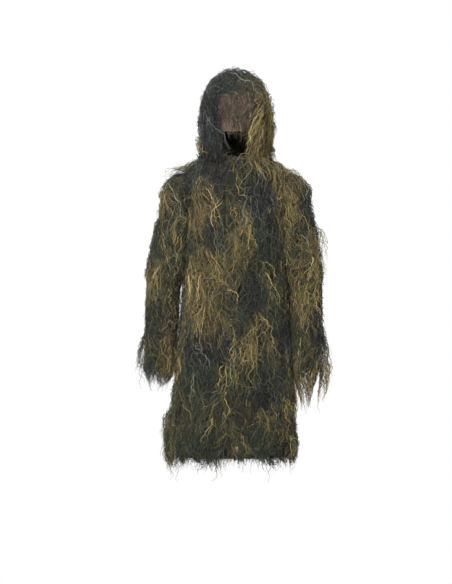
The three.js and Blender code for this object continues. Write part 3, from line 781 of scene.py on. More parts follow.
def strand_mesh(name, paths, radius, tones):
    """One mesh of closed three-sided strands, each with its colour and its own UV cell."""
    count, rings = paths.shape[:2]
    along = unit(np.gradient(paths, axis=1))
    side = unit(np.cross(along, np.array([0.31, -0.87, 0.38])))
    other = np.cross(along, side)
    share = np.linspace(0, 1, rings)
    taper = (1 - 0.7 * share**3) * (0.75 + 0.25 * np.minimum(1, share * 8))
    size = radius[:, None] * taper[None, :]
    corners = []
    for angle in np.arange(3) * math.tau / 3:
        out = math.cos(angle) * side + math.sin(angle) * other
        corners.append(paths + size[..., None] * out)
    points = np.stack(corners, axis=2).reshape(-1, 3)

    ring, edge = np.meshgrid(np.arange(rings - 1) * 3, np.arange(3), indexing="ij")
    after = (edge + 1) % 3
    walls = two_triangles(ring + edge, ring + after, ring + 3 + after, ring + 3 + edge)
    last = (rings - 1) * 3
    one = np.concatenate([walls, [[0, 2, 1], [last, last + 1, last + 2]]])
    triangles = (one[None] + (np.arange(count) * rings * 3)[:, None, None]).reshape(-1)

    mesh = bpy.data.meshes.new(name)
    mesh.vertices.add(len(points))
    set_all(mesh.vertices, "co", points)
    mesh.loops.add(len(triangles))
    set_all(mesh.loops, "vertex_index", triangles, np.int32)
    mesh.polygons.add(len(triangles) // 3)
    set_all(mesh.polygons, "loop_start", np.arange(0, len(triangles), 3), np.int32)

    # UVs: how far round and along its strand each corner is.
    wall_u = two_triangles(edge, edge + 1, edge + 1, edge) / 3
    wall_v = two_triangles(ring, ring, ring + 3, ring + 3) / last
    u = np.concatenate([wall_u, [[0, 0.5, 1], [0, 0.5, 1]]]).ravel()
    v = np.concatenate([wall_v, [[0, 0, 0], [1, 1, 1]]]).ravel()
    columns = math.ceil(math.sqrt(count * 8))
    lines = math.ceil(count / columns)
    cell = np.arange(count)
    cell_u = (cell % columns)[:, None] + 0.1 + 0.8 * u[None]
    cell_v = (cell // columns)[:, None] + 0.02 + 0.96 * v[None]
    bake = np.stack([cell_u / columns, cell_v / lines], axis=-1)
    set_all(mesh.uv_layers.new(name="OFBake").data, "uv", bake)
    strand_length = np.linalg.norm(np.diff(paths, axis=1), axis=2).sum(1)
    twist_v = v[None] * strand_length[:, None] / TWIST_PITCH
    twist = np.stack([np.broadcast_to(u, twist_v.shape), twist_v], axis=-1)
    set_all(mesh.uv_layers.new(name="twist").data, "uv", twist)

    tone = np.repeat(tones.reshape(-1, 3), 3, axis=0)
    colours = np.concatenate([tone, np.ones((len(tone), 1))], axis=1)
    set_all(mesh.attributes.new("tone", "FLOAT_COLOR", "POINT").data, "color", colours)
    mesh.update(calc_edges=True)
    mesh.validate()
    return smooth(placed(name, mesh))


def bulge(points):
    """How much farther out strands stand: loose on the hem's right corner, close on the hood's top."""
    x, _, z = points.T
    hem = np.exp(-(((x + 0.20) / 0.07) ** 2)) * np.clip((-0.78 - z) / 0.1, 0, 1)
    crown = np.clip((z - 0.20) / 0.08, 0, 1) * np.clip(np.abs(x) / 0.05, 0, 1)
    cheeks = np.exp(-(((z - 0.08) / 0.08) ** 2)) * (np.abs(x) > 0.05)
    elbow = np.exp(-(((z + 0.19) / 0.06) ** 2)) * (x > 0.262)
    return 1 + 0.9 * hem - 0.35 * crown + 0.40 * cheeks + 1.7 * elbow


def yarn(knots, per_knot, solids, seed, length=(0.085, 0.16), lift=(0.003, 0.028), lowest=None):
    """Strands for the given knots: paths, radii and colours along each strand."""
    rng = np.random.default_rng(zlib.crc32(seed.encode()))
    _, out = gap_and_away(knots, solids)
    count = len(knots) * per_knot
    mixes = mixes_at(knots, rng)

    def each(values):
        return np.repeat(values, per_knot, axis=0)

    lean = unit(np.cross(out, UP) + 1e-6) * rng.normal(0, 0.75, (len(knots), 1))
    roots = each(knots) + rng.normal(0, 0.0055, (count, 3))
    flare = rng.uniform(0.2, 1.1, (count, 1)) * (1 - 0.75 * np.clip(each(out)[:, 2:], 0, 1))
    heading = unit(each(out) * flare + each(lean) + rng.normal(0, 0.40, (count, 3)) + DOWN * 0.3)
    strand_length = each(rng.uniform(*length, len(knots))) * rng.uniform(0.7, 1.15, count)
    if lowest is not None:
        uneven = each(rng.uniform(-0.014, 0.030, len(knots)))
        room = roots[:, 2] - lowest(roots) - uneven + rng.exponential(0.014, count)
        strand_length = np.minimum(strand_length, np.clip(room, 0.015, None))
    pile = each(rng.uniform(0.25, 1.0, len(knots)))
    share = pile * rng.uniform(0, 1, count) ** 0.9
    height = (lift[0] + (lift[1] - lift[0]) * share) * bulge(roots)
    paths = grow(roots, heading, strand_length, height, solids, per_knot, rng)

    wild = rng.uniform(size=count) < 0.16
    amplitude = each(rng.uniform(0.002, 0.006, len(knots))) * rng.uniform(0.6, 1.4, count)
    amplitude = np.where(wild, amplitude * 1.6, amplitude)
    wavelength = each(rng.uniform(0.040, 0.090, len(knots))) * rng.uniform(0.8, 1.2, count)
    wavelength = np.where(wild, wavelength * 0.75, wavelength)
    phase = each(rng.uniform(0, math.tau, len(knots))) + rng.normal(0, 0.7, count)
    paths = curl(paths, amplitude, wavelength, phase, strand_length, rng)

    names = list(YARN)
    palette = np.array([YARN[name] for name in names])
    tones = np.empty((count, 3))
    for mix in MIXES:
        chosen = each(np.array([name == mix for name in mixes]))
        odds = np.array([MIXES[mix].get(name, 0.0) for name in names])
        picks = rng.choice(len(names), count, p=odds / odds.sum())
        tones = np.where(chosen[:, None], palette[picks], tones)
    tuft_shade = each(rng.uniform(0.62, 1.3, (len(knots), 1)))
    outer = (0.32 + 1.20 * share)[:, None]
    tones = tones * tuft_shade * outer * np.exp(np.clip(rng.normal(0, 0.42, (count, 1)), -1.2, 0.42))
    tones = tones * rng.uniform(0.95, 1.05, (count, 3))
    along = np.linspace(0, 1, SEGMENTS + 1)
    fade = 0.70 + 0.45 * along[None, :] + rng.normal(0, 0.06, (count, SEGMENTS + 1))
    tones = np.clip(tones[:, None, :] * fade[..., None], 0, 1)
    radius = YARN_R * rng.uniform(0.65, 1.2, count) * np.where(wild, 0.75, 1)
    return paths, radius, tones


MOST_STRANDS = 1800  # in one piece, which keeps it under 200,000 triangles


def yarn_pieces(name, strands, slot_name, place, replaced):
    """Meshes for the strands, split evenly; place rides or blends each piece."""
    paths, radius, tones = strands
    parts = math.ceil(len(paths) / MOST_STRANDS)
    for part in range(parts):
        own = slice(part, None, parts)
        obj = strand_mesh(f"{name}_{part + 1}", paths[own], radius[own], tones[own])
        dress(obj, slot_name)
        place(obj)
        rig.replaces(obj, replaced)


# ---- Knots on the net ----


def oval_line(row, squareness, steps=260):
    """Points round one section, given as height, half width, half depth, and middle x and y."""
    z, wide, deep, middle_x, middle_y = row
    cosine, sine = rounded(np.linspace(0, math.tau, steps), squareness)
    return np.stack([middle_x + wide * cosine, middle_y + deep * sine, np.full(steps, z)], axis=1)


def spread_on(line, spacing, rng):
    """Points spread along a closed line, jittered."""
    length = run_along(line)[-1]
    count = max(3, round(length / spacing))
    places = (np.arange(count) + rng.uniform(-0.4, 0.4, count) + rng.uniform()) * length / count
    return points_at(line, places % length)


def torso_row(z):
    wide, deep, middle = section_at(TORSO, z)
    return z, wide, deep, middle, 0


def torso_knots(spacing):
    rng = np.random.default_rng(3)
    rows = []
    z = HEM_Z + 0.006
    while z < NECK_Z:
        rows.append(spread_on(oval_line(torso_row(z), SQUARENESS), spacing, rng))
        z += spacing * float(np.interp(z, TORSO[:, 0], TORSO_SLOPES)) * 0.92
    knots = np.concatenate(rows)
    knots[:, 2] += rng.uniform(-0.4, 0.4, len(knots)) * spacing
    return knots[(knots[:, 2] < NECK_Z) & (knots[:, 2] > HEM_Z)]


def hood_row(z):
    if z > DOME_Z:
        shrink = math.sqrt(max(0.0, 1 - ((z - DOME_Z) / HOOD_HALF[1]) ** 2))
        return z, HOOD_HALF[0] * shrink, HOOD_HALF[1] * shrink, 0, HOOD[-1, 3]
    wide, deep, middle = section_at(HOOD, z)
    return z, wide, deep, 0, middle


def hood_knots(spacing):
    rng = np.random.default_rng(4)
    upright = np.arange(HOOD_BASE_Z + 0.006, DOME_Z, spacing)
    dome = np.arange(0, math.pi / 2, spacing / HOOD_HALF[1])
    levels = [*upright, *(DOME_Z + HOOD_HALF[1] * np.sin(dome))]
    return np.concatenate([spread_on(oval_line(hood_row(z), HOOD_SQUARENESS), spacing, rng) for z in levels])


def sleeve_frame(start, end):
    """The sleeve's own direction, and two directions across it."""
    axis = unit(end - start)
    across = unit(np.cross(axis, np.array([0.0, 1.0, 0.0])))
    return axis, across, np.cross(axis, across)


def sleeve_knots(side, part, spacing):
    rng = np.random.default_rng(5 if side == "left" else 6)
    start, end = sleeve_ends(side, part)
    axis, across, over = sleeve_frame(start, end)
    length = np.linalg.norm(end - start)
    first = -CAP_R * 0.9 if part == "upper" else 0.004
    knots = []
    for along in np.arange(first, length - 0.004, spacing):
        if part == "upper" and along < CAP_END:
            ring = math.sqrt(CAP_R**2 - along**2)
        else:
            ring = np.interp(along, [0, length], SLEEVES[part][1])
        angle = np.linspace(0, math.tau, 90)[:, None]
        line = start + axis * along + ring * (np.cos(angle) * across + np.sin(angle) * over)
        knots.append(spread_on(line, spacing, rng))
    return np.concatenate(knots)


def in_arch(points, past=0.0):
    """Whether points on the front lie in the face opening."""
    x, y, z = points.T
    half, top, rise = FACE_HALF + past, BROW_Z + past, FACE_HALF
    above = np.clip((z - (top - rise)) / rise, 0, None)
    return (y < 0) & ((x / half) ** 2 + above**2 < 1)


def hem_line(points):
    """How low the body's strands reach: higher at the wearer's left corner."""
    return np.interp(points[:, 0], [0.06, 0.20], [HEM_Z - 0.024, HEM_Z - 0.006])


SLEEVE_ENDS = {"left": -0.832, "right": -0.745}
SIGNS = {"left": 1, "right": -1}


def rides(body):
    return lambda obj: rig.ride(obj, body)


def bends(first, second, start, end):
    return lambda obj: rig.blend(obj, first, second, start=start, end=end)


SEAM_BLEND = 0.03
FLAP_BLEND = 0.02
KNOT_SPACING = 0.0325
# Strands tied to each knot.
BODY_STRANDS = 26
UPPER_STRANDS = 25
LOWER_STRANDS = 26
HOOD_STRANDS = 33
BROW_STRANDS = 18
VEIL_STRANDS = 10
ARM_LIFT = (0.002, 0.017)


def seam_places():
    """How pieces on the body follow the coat, each front and the flap across their hinges."""
    hinges = ("front_left_open", "front_right_open", "flap_open")
    left, right, flap = (JOINT_AT[name] for name in hinges)
    return {
        "coat": rides("coat"),
        "front_left": bends("coat", "front_left", left, left - [SEAM_BLEND, 0, 0]),
        "front_right": bends("coat", "front_right", right, right + [SEAM_BLEND, 0, 0]),
        "flap": bends("front_left", "flap", flap, flap - [FLAP_BLEND, 0, 0]),
    }


def clear_of_openings(strands):
    """The strands that stay out of the notch under the chin and off the flap's free edge at the chest."""
    paths, radius, tones = strands
    x, y, z = np.moveaxis(paths, 2, 0)
    notch = (y < -0.05) & (z > 0.040 + 0.9 * np.abs(x)) & (np.abs(x) < 0.06)
    slit = (y < -0.05) & (np.abs(x - FLAP_LOW.x) < 0.0036) & (z < -0.095) & (z > -0.205)
    kept = ~(notch | slit).any(axis=1)
    return paths[kept], radius[kept], tones[kept]


def body_yarn():
    knots = torso_knots(KNOT_SPACING)
    x, y, z = knots.T
    near_arm = gap_to(knots, ["upper_left", "upper_right"])
    free = near_arm > 0.004
    below = z < YOKE_Z
    on_front = (y < 0) & (np.abs(x) < FRONT_SEAM_X) & below
    flap_x = (x > FLAP_LOW.x) & (x < FLAP_HIGH.x) & (z > FLAP_LOW.z)
    pick = {
        "back_yarn": (y >= 0) & below,
        "side_left_yarn": (y < 0) & (x >= FRONT_SEAM_X) & below,
        "side_right_yarn": (y < 0) & (x <= -FRONT_SEAM_X) & below,
        "front_left_yarn": on_front & ~flap_x & (x > 0),
        "front_right_yarn": on_front & ~flap_x & (x <= 0),
        "placket_flap_yarn": on_front & flap_x,
        "yoke_left_yarn": ~below & (x > 0),
        "yoke_right_yarn": ~below & (x <= 0),
    }
    seams = seam_places()
    places = {
        "back_yarn": seams["coat"],
        "side_left_yarn": seams["coat"],
        "side_right_yarn": seams["coat"],
        "front_left_yarn": seams["front_left"],
        "front_right_yarn": seams["front_right"],
        "placket_flap_yarn": seams["flap"],
    }
    for side, sign in SIGNS.items():
        start, end = (sign * 0.135, 0, -0.02), (sign * 0.215, 0, -0.10)
        places[f"yoke_{side}_yarn"] = bends("coat", f"upper_sleeve_{side}", start, end)
    for name, chosen in pick.items():
        chosen = chosen & free
        if name.startswith("side"):
            lift, solids = (0.002, 0.020), ["torso"]
        elif name.startswith("yoke"):
            lift, solids = (0.004, 0.030), ["torso", "upper_left", "upper_right"]
        else:
            lift, solids = (0.003, 0.029), ["torso"]
        strands = yarn(knots[chosen], BODY_STRANDS, solids, name, lift=lift, lowest=hem_line)
        yarn_pieces(name, clear_of_openings(strands), slot_of(name), places[name], name)


def slot_of(node):
    """The record's material slot of a CAD node."""
    return next(s["material_slot"] for s in frame["record"]["subparts"] if s["node"] == node)


def elbow_place(side):
    _, elbow, _ = arm_points(side)
    start, end = elbow + [0, 0, 0.03], elbow - [0, 0, 0.05]
    return bends(f"upper_sleeve_{side}", f"lower_sleeve_{side}", start, end)


def sleeve_yarn(side):
    _, elbow, cuff = arm_points(side)
    sign = SIGNS[side]
    solids = ["torso", f"upper_{side}", f"lower_{side}"]
    knots = sleeve_knots(side, "upper", KNOT_SPACING)
    knots = knots[(torso_gap(knots) > 0.006) & (knots[:, 2] < 0)]
    low = knots[:, 2] < elbow[2] + 0.11
    name = f"upper_sleeve_{side}_yarn"
    start, end = (sign * 0.150, 0, -0.02), (sign * 0.205, 0, -0.09)
    strands = yarn(knots[~low], UPPER_STRANDS, solids, name, lift=ARM_LIFT)
    shoulder_bend = bends("coat", f"upper_sleeve_{side}", start, end)
    yarn_pieces(f"{name}_high", strands, slot_of(name), shoulder_bend, name)
    elbow_bend = elbow_place(side)
    strands = yarn(knots[low], UPPER_STRANDS, solids, name + "low", lift=ARM_LIFT)
    yarn_pieces(f"{name}_low", strands, slot_of(name), elbow_bend, name)

    name = f"lower_sleeve_{side}_yarn"
    knots = sleeve_knots(side, "lower", KNOT_SPACING)
    knots = knots[torso_gap(knots) > 0.004]
    reach = (0.10, 0.20) if side == "left" else (0.085, 0.16)

    def lowest(points):
        """How low the sleeve's strands reach: higher on the outside of the arm."""
        return SLEEVE_ENDS[side] + 0.5 * np.clip(sign * points[:, 0] - 0.25, 0, 0.08)

    strands = yarn(knots, LOWER_STRANDS, solids, name, reach, (0.002, 0.012), lowest)
    paths, radius, tones = strands
    below = np.clip((CUFF_Z - paths[..., 2]) / 0.12, 0, 1)
    strands = paths + 0.45 * below[..., None] * (cuff - paths) * [1, 1, 0], radius, tones
    yarn_pieces(name, strands, slot_of(name), elbow_bend, name)


NECK_BLEND = ((0, 0.11, 0.0), (0, 0.02, 0.09))


def collar_line(points):
    """How low the hood's strands reach: just over the collar, so that they lie well when it folds."""
    return np.full(len(points), 0.004)


def drawn_in(paths):
    """The hood's strands beside the face, drawn in over the veil's edges as they fall."""
    x, y, z = np.moveaxis(paths.copy(), 2, 0)
    beside = (np.abs(x[:, 0]) < 0.110) & (y[:, 0] < -0.02) & (z[:, 0] > 0.04) & (z[:, 0] < BROW_Z - 0.02)
    rng = np.random.default_rng(22)
    pull = rng.uniform(0.010, 0.042, len(x)) * beside
    share = np.linspace(0, 1, x.shape[1])[None] ** 0.8
    new_x = x - np.sign(x) * np.minimum(pull[:, None] * share, np.abs(x) - 0.002)
    for i in np.flatnonzero(beside):
        y[i] += hood_front(new_x[i], z[i]) - hood_front(x[i], z[i]) - 0.004 * share[0]
    return np.stack([new_x, y, z], axis=2)


def hood_yarn():
    knots = hood_knots(0.031)
    knots = knots[~in_arch(knots, 0.010)]
    groups = {
        "hood_crown_yarn": np.abs(knots[:, 0]) < CROWN_HALF,
        "hood_left_yarn": knots[:, 0] >= CROWN_HALF,
        "hood_right_yarn": knots[:, 0] <= -CROWN_HALF,
    }
    solids = ["hood", "torso", "upper_left", "upper_right"]
    for name, chosen in groups.items():
        length, lift = (0.10, 0.20), (0.004, 0.030)
        strands = yarn(knots[chosen], HOOD_STRANDS, solids, name, length, lift, collar_line)
        paths, radius, tones = strands
        paths = drawn_in(paths)
        x, y, z = np.moveaxis(paths, 2, 0)
        closing = np.interp(z, [0.035, 0.13, 0.24], [0.003, 0.038, 0.044])
        over_face = (np.abs(x - 0.002) < closing) & (y < -0.03) & (z < BROW_Z - 0.03) & (z > 0.035)
        rng = np.random.default_rng(21)
        kept = ~over_face.any(axis=1) | (rng.uniform(size=len(paths)) < 0.06)
        strands = paths[kept], radius[kept], tones[kept]
        yarn_pieces(name, strands, slot_of(name), bends("coat", "hood", *NECK_BLEND), name)


def brow_yarn():
    """The fringe over the brow, short enough to leave the veil to be seen."""
    rng = np.random.default_rng(31)
    count = 42
    x = rng.uniform(-0.066, 0.066, count)
    z = VEIL_HIGH.z + 0.002 - 0.55 * x**2 / 0.062
    knots = np.stack([x, np.full(count, -0.08), z + rng.uniform(-0.006, 0.008, count)], axis=1)
    gap, away = gap_and_away(knots, ["hood"])
    knots += away * (0.008 - gap)[:, None]
    length, lift = (0.035, 0.085), (0.009, 0.022)
    strands = yarn(knots, BROW_STRANDS, ["hood"], "brow", length, lift)
    place = bends("hood", "veil", (0, 0, 0.29), (0, 0, 0.25))
    yarn_pieces("brow_fringe_yarn", strands, "yarn_dark", place, "brow_fringe")


# ---- Fabric shell ----

NET = 0.0014  # thickness of netting and lining
RIBBON = 0.0012  # thickness of tapes and elastic
TAPE_INSIDE = -0.0042  # tapes lie this far inside the shell
HEM_TAPE = 0.024
CENTRE_GAP = 0.0006
NET_INSIDE = 0.001  # the net's middle lies this far inside the shell
FLAP_OUTSIDE = 0.0052


def angle_at(x):
    """The section angle, on the front, at which the body's shell is at x."""

    def at(z):
        _, wide, _, middle, _ = torso_row(z)
        share = np.clip((x - middle) / wide, -1, 1)
        return -math.acos(math.copysign(abs(share) ** (SQUARENESS / 2), share))

    return at


def always(angle):
    return lambda z: angle


def past(turn, at):
    return lambda z: at(z) + turn


def torso_point(angle, z):
    _, wide, deep, middle, _ = torso_row(z)
    cosine, sine = rounded(angle, SQUARENESS)
    return np.stack([middle + wide * cosine, deep * sine, np.full_like(cosine, z)], axis=-1)


def torso_panel(name, low, high, first, last, offset, thickness, columns=44, pitch=0.014):
    """A panel of the body's shell between two heights and two angles, cut out round the armholes."""
    levels = np.linspace(low, high, max(2, round((high - low) / pitch)) + 1)
    grid = np.stack([torso_point(np.linspace(first(z), last(z), columns), z) for z in levels])
    flat = grid.reshape(-1, 3)
    _, away = gap_and_away(flat, ["torso"])
    flat = flat + away * offset
    middle = flat.reshape(grid.shape)
    middle = (middle[:-1, :-1] + middle[1:, :-1] + middle[:-1, 1:] + middle[1:, 1:]) / 4
    keep = np.ones(middle.shape[:2], bool)
    rim = CAP_R + 0.002
    for side in SIGNS:
        shoulder = JOINT_AT[f"shoulder_{side}"]
        keep &= np.linalg.norm(middle - shoulder, axis=2) > rim
        gap, out = gap_and_away(flat, [f"upper_{side}"])
        below = flat[:, 2] < shoulder[2]
        dent = np.where(below, np.clip(0.004 - gap, 0, 0.06), 0)
        flat = flat + out * dent[:, None]
        reach = np.linalg.norm(flat - shoulder, axis=1)
        inside = (reach < rim)[:, None]
        flat = np.where(inside, shoulder + unit(flat - shoulder) * rim, flat)
    return grid_object(name, flat.reshape(grid.shape), thickness, keep)


def tube_grid(centres, across, over, wide, deep, sides=24, squareness=2.0):
    """A grid of points round a line of centres, one ring per centre."""
    cosine, sine = rounded(np.linspace(0, math.tau, sides + 1), squareness)
    wide = np.broadcast_to(wide, len(centres))[:, None, None]
    deep = np.broadcast_to(deep, len(centres))[:, None, None]
    across, over = (np.broadcast_to(way, centres.shape) for way in (across, over))
    ring_x = wide * cosine[None, :, None] * across[:, None, :]
    ring_y = deep * sine[None, :, None] * over[:, None, :]
    return centres[:, None, :] + ring_x + ring_y


def merged(obj, distance=0.00005):
    """The same object with points that lie on each other joined, so that a tube closes."""
    work = bmesh.new()
    work.from_mesh(obj.data)
    bmesh.ops.remove_doubles(work, verts=work.verts, dist=distance)
    work.to_mesh(obj.data)
    work.free()
    return smooth(obj)


def sheet_piece(obj, slot_name, node, place, held="hung", rests_on=()):
    dress(obj, slot_name)
    place(obj)
    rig.replaces(obj, node)
    declare_sheet(obj, held, rests_on)
    return obj


def body_shell():
    seam, centre = angle_at(FRONT_SEAM_X), angle_at(CENTRE_GAP)
    far_seam, far_centre = angle_at(-FRONT_SEAM_X), angle_at(-CENTRE_GAP)
    place = seam_places()
    panels = (
        ("back", always(0), always(math.pi), "coat"),
        ("side_left", seam, always(0), "coat"),
        ("side_right", always(-math.pi), far_seam, "coat"),
        ("front_left", centre, seam, "front_left"),
        ("front_right", far_seam, far_centre, "front_right"),
    )
    for name, first, last, body in panels:
        node = f"{name}_panel"
        columns = 72 if name == "back" else 40
        obj = torso_panel(f"{name}_net", HEM_Z, YOKE_Z, first, last, -NET_INSIDE, NET, columns)
        sheet_piece(obj, "netting", node, place[body], rests_on=["shoulder_yoke_net"])
        top = HEM_Z + HEM_TAPE
        tape = torso_panel(f"{name}_hem", HEM_Z, top, first, last, TAPE_INSIDE, RIBBON, 60, 0.004)
        sheet_piece(tape, "tape", f"{name}_hem_tape", place[body], rests_on=[obj.name])
    last = past(math.tau, far_centre)
    span = YOKE_Z, NECK_Z, centre, last
    yoke = torso_panel("shoulder_yoke_net", *span, -NET_INSIDE, NET, 160, 0.005)
    sheet_piece(yoke, "netting", "shoulder_yoke", rides("coat"))

    facing_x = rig.box("facing_tape_left")[1].x
    low = HEM_Z + HEM_TAPE + 0.002
    facings = (("left", centre, angle_at(facing_x)), ("right", angle_at(-facing_x), far_centre))
    for side, first, last in facings:
        tape = torso_panel(f"facing_{side}", low, YOKE_Z, first, last, TAPE_INSIDE, RIBBON, 8)
        body = f"front_{side}"
        sheet_piece(tape, "tape", f"facing_tape_{side}", rides(body), rests_on=[f"{body}_net"])

    first, last = angle_at(FLAP_LOW.x), angle_at(FLAP_HIGH.x)
    span = FLAP_LOW.z, FLAP_HIGH.z, first, last
    flap = torso_panel("closure_flap", *span, FLAP_OUTSIDE, NET, 14, 0.010)
    sheet_piece(flap, "netting", "placket_flap", place["flap"], rests_on=["front_left_net"])
    stitch_lines(first, last, place["flap"])


STITCH_SHARE = 0.66  # of the pitch that each stitch covers


def capsule_rows(name, ends_a, ends_b, radius):
    """Short rounded dashes, one for each pair of ends."""
    along = unit(ends_b - ends_a)
    side = unit(np.cross(along, np.array([0.3, 0.8, 0.52])))
    over = np.cross(along, side)
    sides = 6
    rows = ((0, 0.35), (0.2, 1), (0.8, 1), (1, 0.35))
    rings = []
    for place, size in rows:
        middle = ends_a + (ends_b - ends_a) * place
        for angle in np.arange(sides) * math.tau / sides:
            out = math.cos(angle) * side + math.sin(angle) * over
            rings.append(middle + radius * size * out)
    points = np.stack(rings, axis=1).reshape(-1, 3)
    faces = []
    for start in range(0, len(points), len(rows) * sides):
        end = start + (len(rows) - 1) * sides
        for ring in range(start, end, sides):
            for k in range(sides):
                a, b = ring + k, ring + (k + 1) % sides
                faces.append((a, b, b + sides, a + sides))
        faces.append(tuple(range(start + sides - 1, start - 1, -1)))
        faces.append(tuple(range(end, end + sides)))
    return mesh_object(name, points, faces)


def stitches(name, line, slot_name, place, pitch=0.0045, radius=0.00045):
    """A row of stitches along a line of points."""
    starts = np.arange(0.002, run_along(line)[-1] - pitch, pitch)
    ends = points_at(line, starts + pitch * STITCH_SHARE)
    obj = capsule_rows(name, points_at(line, starts), ends, radius)
    obj.data.materials.append(MATERIALS["thread"])
    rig.slot(obj, slot_name)
    place(obj)
    return obj


def stitch_lines(first, last, place):
    """Two rows down each edge of the closure flap, on its outer face."""
    for edge, at, inward in (("free", first, 0.004), ("sewn", last, -0.004)):
        for row, shift in enumerate((inward, inward * 2.2)):
            levels = np.linspace(FLAP_LOW.z + 0.004, FLAP_HIGH.z - 0.004, 90)
            line = []
            for z in levels:
                x = torso_point(np.array([at(z)]), z)[0, 0] + shift
                line.append(torso_point(np.array([angle_at(x)(z)]), z)[0])
            line = np.array(line)
            _, away = gap_and_away(line, ["torso"])
            outer = line + away * (FLAP_OUTSIDE + 0.001)
            stitches(f"flap_stitches_{edge}_{row + 1}", outer, "netting", place)


def collar():
    low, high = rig.box("stand_collar")
    notch = 0.030
    row = torso_row(NECK_Z)
    first = -math.acos((notch / row[1]) ** (SQUARENESS / 2))
    angles = np.linspace(first, math.pi - first, 120)
    rows = []
    for z in np.linspace(low.z, high.z, 7):
        ring = torso_point(angles, NECK_Z)
        ring[:, :2] *= 1 - 0.016 - 0.01 * (z - low.z) / (high.z - low.z)
        ring[:, 2] = z
        rows.append(ring)
    obj = grid_object("neck_collar", np.stack(rows), 0.0024)
    sheet_piece(obj, "lining", "stand_collar", rides("coat"), rests_on=["shoulder_yoke_net"])
    top = rows[-1] + [0, 0, -0.003]
    centre = top.mean(0) * [0, 0, 1]
    stitches("collar_stitches", top + unit(centre - top) * 0.0016, "lining", rides("coat"))


def sleeve_shell(side):
    sign = SIGNS[side]
    shoulder, elbow, cuff = arm_points(side)
    axis, across, over = sleeve_frame(shoulder, elbow)
    length = np.linalg.norm(elbow - shoulder)
    cap_rings = 16
    turn = np.linspace(math.radians(172), math.radians(60), cap_rings)
    along = np.r_[CAP_R * np.cos(turn), np.linspace(CAP_END + 0.012, length - 0.028, 22)]
    tube = np.interp(along[cap_rings:], [CAP_END, length], UPPER_R)
    rings = np.r_[CAP_R * np.sin(turn), tube] - NET_INSIDE
    grid = tube_grid(shoulder + along[:, None] * axis, across, over, rings, rings, 40)
    middle = (grid[:-1, :-1] + grid[1:, 1:]) / 2 - shoulder
    inner = middle[..., 0] * sign < 0
    keep = ~(inner & (np.hypot(middle[..., 1], middle[..., 2]) < CAP_R - 0.010))
    upper = merged(grid_object(f"upper_sleeve_{side}_net", grid, NET, keep))
    body = f"upper_sleeve_{side}"
    sheet_piece(upper, "netting", body, rides(body), "hung", ["shoulder_yoke_net"])

    low_axis, low_across, low_over = sleeve_frame(elbow, cuff)
    reach = np.linalg.norm(cuff - elbow)
    run = np.r_[np.linspace(-0.034, -0.006, 5), np.linspace(0.004, reach, 46)]
    centres = np.where(run[:, None] < 0, elbow + run[:, None] * axis, elbow + run[:, None] * low_axis)
    radii = [UPPER_R[1] - 0.003, 0.0475, 0.0445, FOREARM_R[1]]
    rings = np.interp(run, [-0.034, 0, 0.05, reach], radii) - NET_INSIDE
    grid = tube_grid(centres, low_across, low_over, rings, rings, 64)
    gathers = np.clip((run - (reach - 0.05)) / 0.05, 0, 1)[:, None, None] * 0.0014
    wave = np.cos(np.linspace(0, math.tau, 65) * 26)[None, :, None]
    grid = grid - gathers * (1 + wave) * unit(grid - centres[:, None, :])
    lower = merged(grid_object(f"lower_sleeve_{side}_net", grid, NET))
    sheet_piece(lower, "netting", f"lower_sleeve_{side}", elbow_place(side), "hung", [upper.name])

    run = np.linspace(reach - 0.030, reach - 0.003, 10)
    centres = elbow + run[:, None] * low_axis
    band = FOREARM_R[1] - 0.0062
    grid = tube_grid(centres, low_across, low_over, band, band, 128)
    ripple = np.cos(np.linspace(0, math.tau, 129) * 32)[None, :, None] * 0.0005
    grid = grid + ripple * unit(grid - centres[:, None, :])
    elastic = merged(grid_object(f"cuff_{side}_band", grid, RIBBON))
    place = rides(f"lower_sleeve_{side}")
    sheet_piece(elastic, "elastic", f"cuff_elastic_{side}", place, "stretched", [lower.name])


def hood_surface(x, z):
    """The hood's front at x and z."""
    _, wide, deep, _, middle = hood_row(z)
    share = min(0.999, abs(x) / max(wide, 1e-4))
    return middle - deep * (1 - share**HOOD_SQUARENESS) ** (1 / HOOD_SQUARENESS)


def hood_front(x, z):
    """The hood's front at each pair of x and z."""
    return np.array([hood_surface(a, b) for a, b in zip(x, z)])


def arch_half(z, past_rim=0.0):
    """Half the face opening's width at a height."""
    half, top = FACE_HALF + past_rim, BROW_Z + past_rim
    above = (z - (top - FACE_HALF)) / FACE_HALF
    return half * math.sqrt(max(0.0, 1 - max(0.0, above) ** 2))


def hood_angle(x, z, back):
    _, wide, _, _, _ = hood_row(z)
    share = min(1.0, abs(x) / max(wide, 1e-4))
    angle = math.acos(share ** (HOOD_SQUARENESS / 2))
    return angle if back else -angle


def hood_point(angle, z):
    _, wide, deep, _, middle = hood_row(z)
    cosine, sine = rounded(angle, HOOD_SQUARENESS)
    x, y = (wide - NET_INSIDE) * cosine, middle + (deep - NET_INSIDE) * sine
    return np.stack([x, y, np.full_like(x, z)], axis=-1)


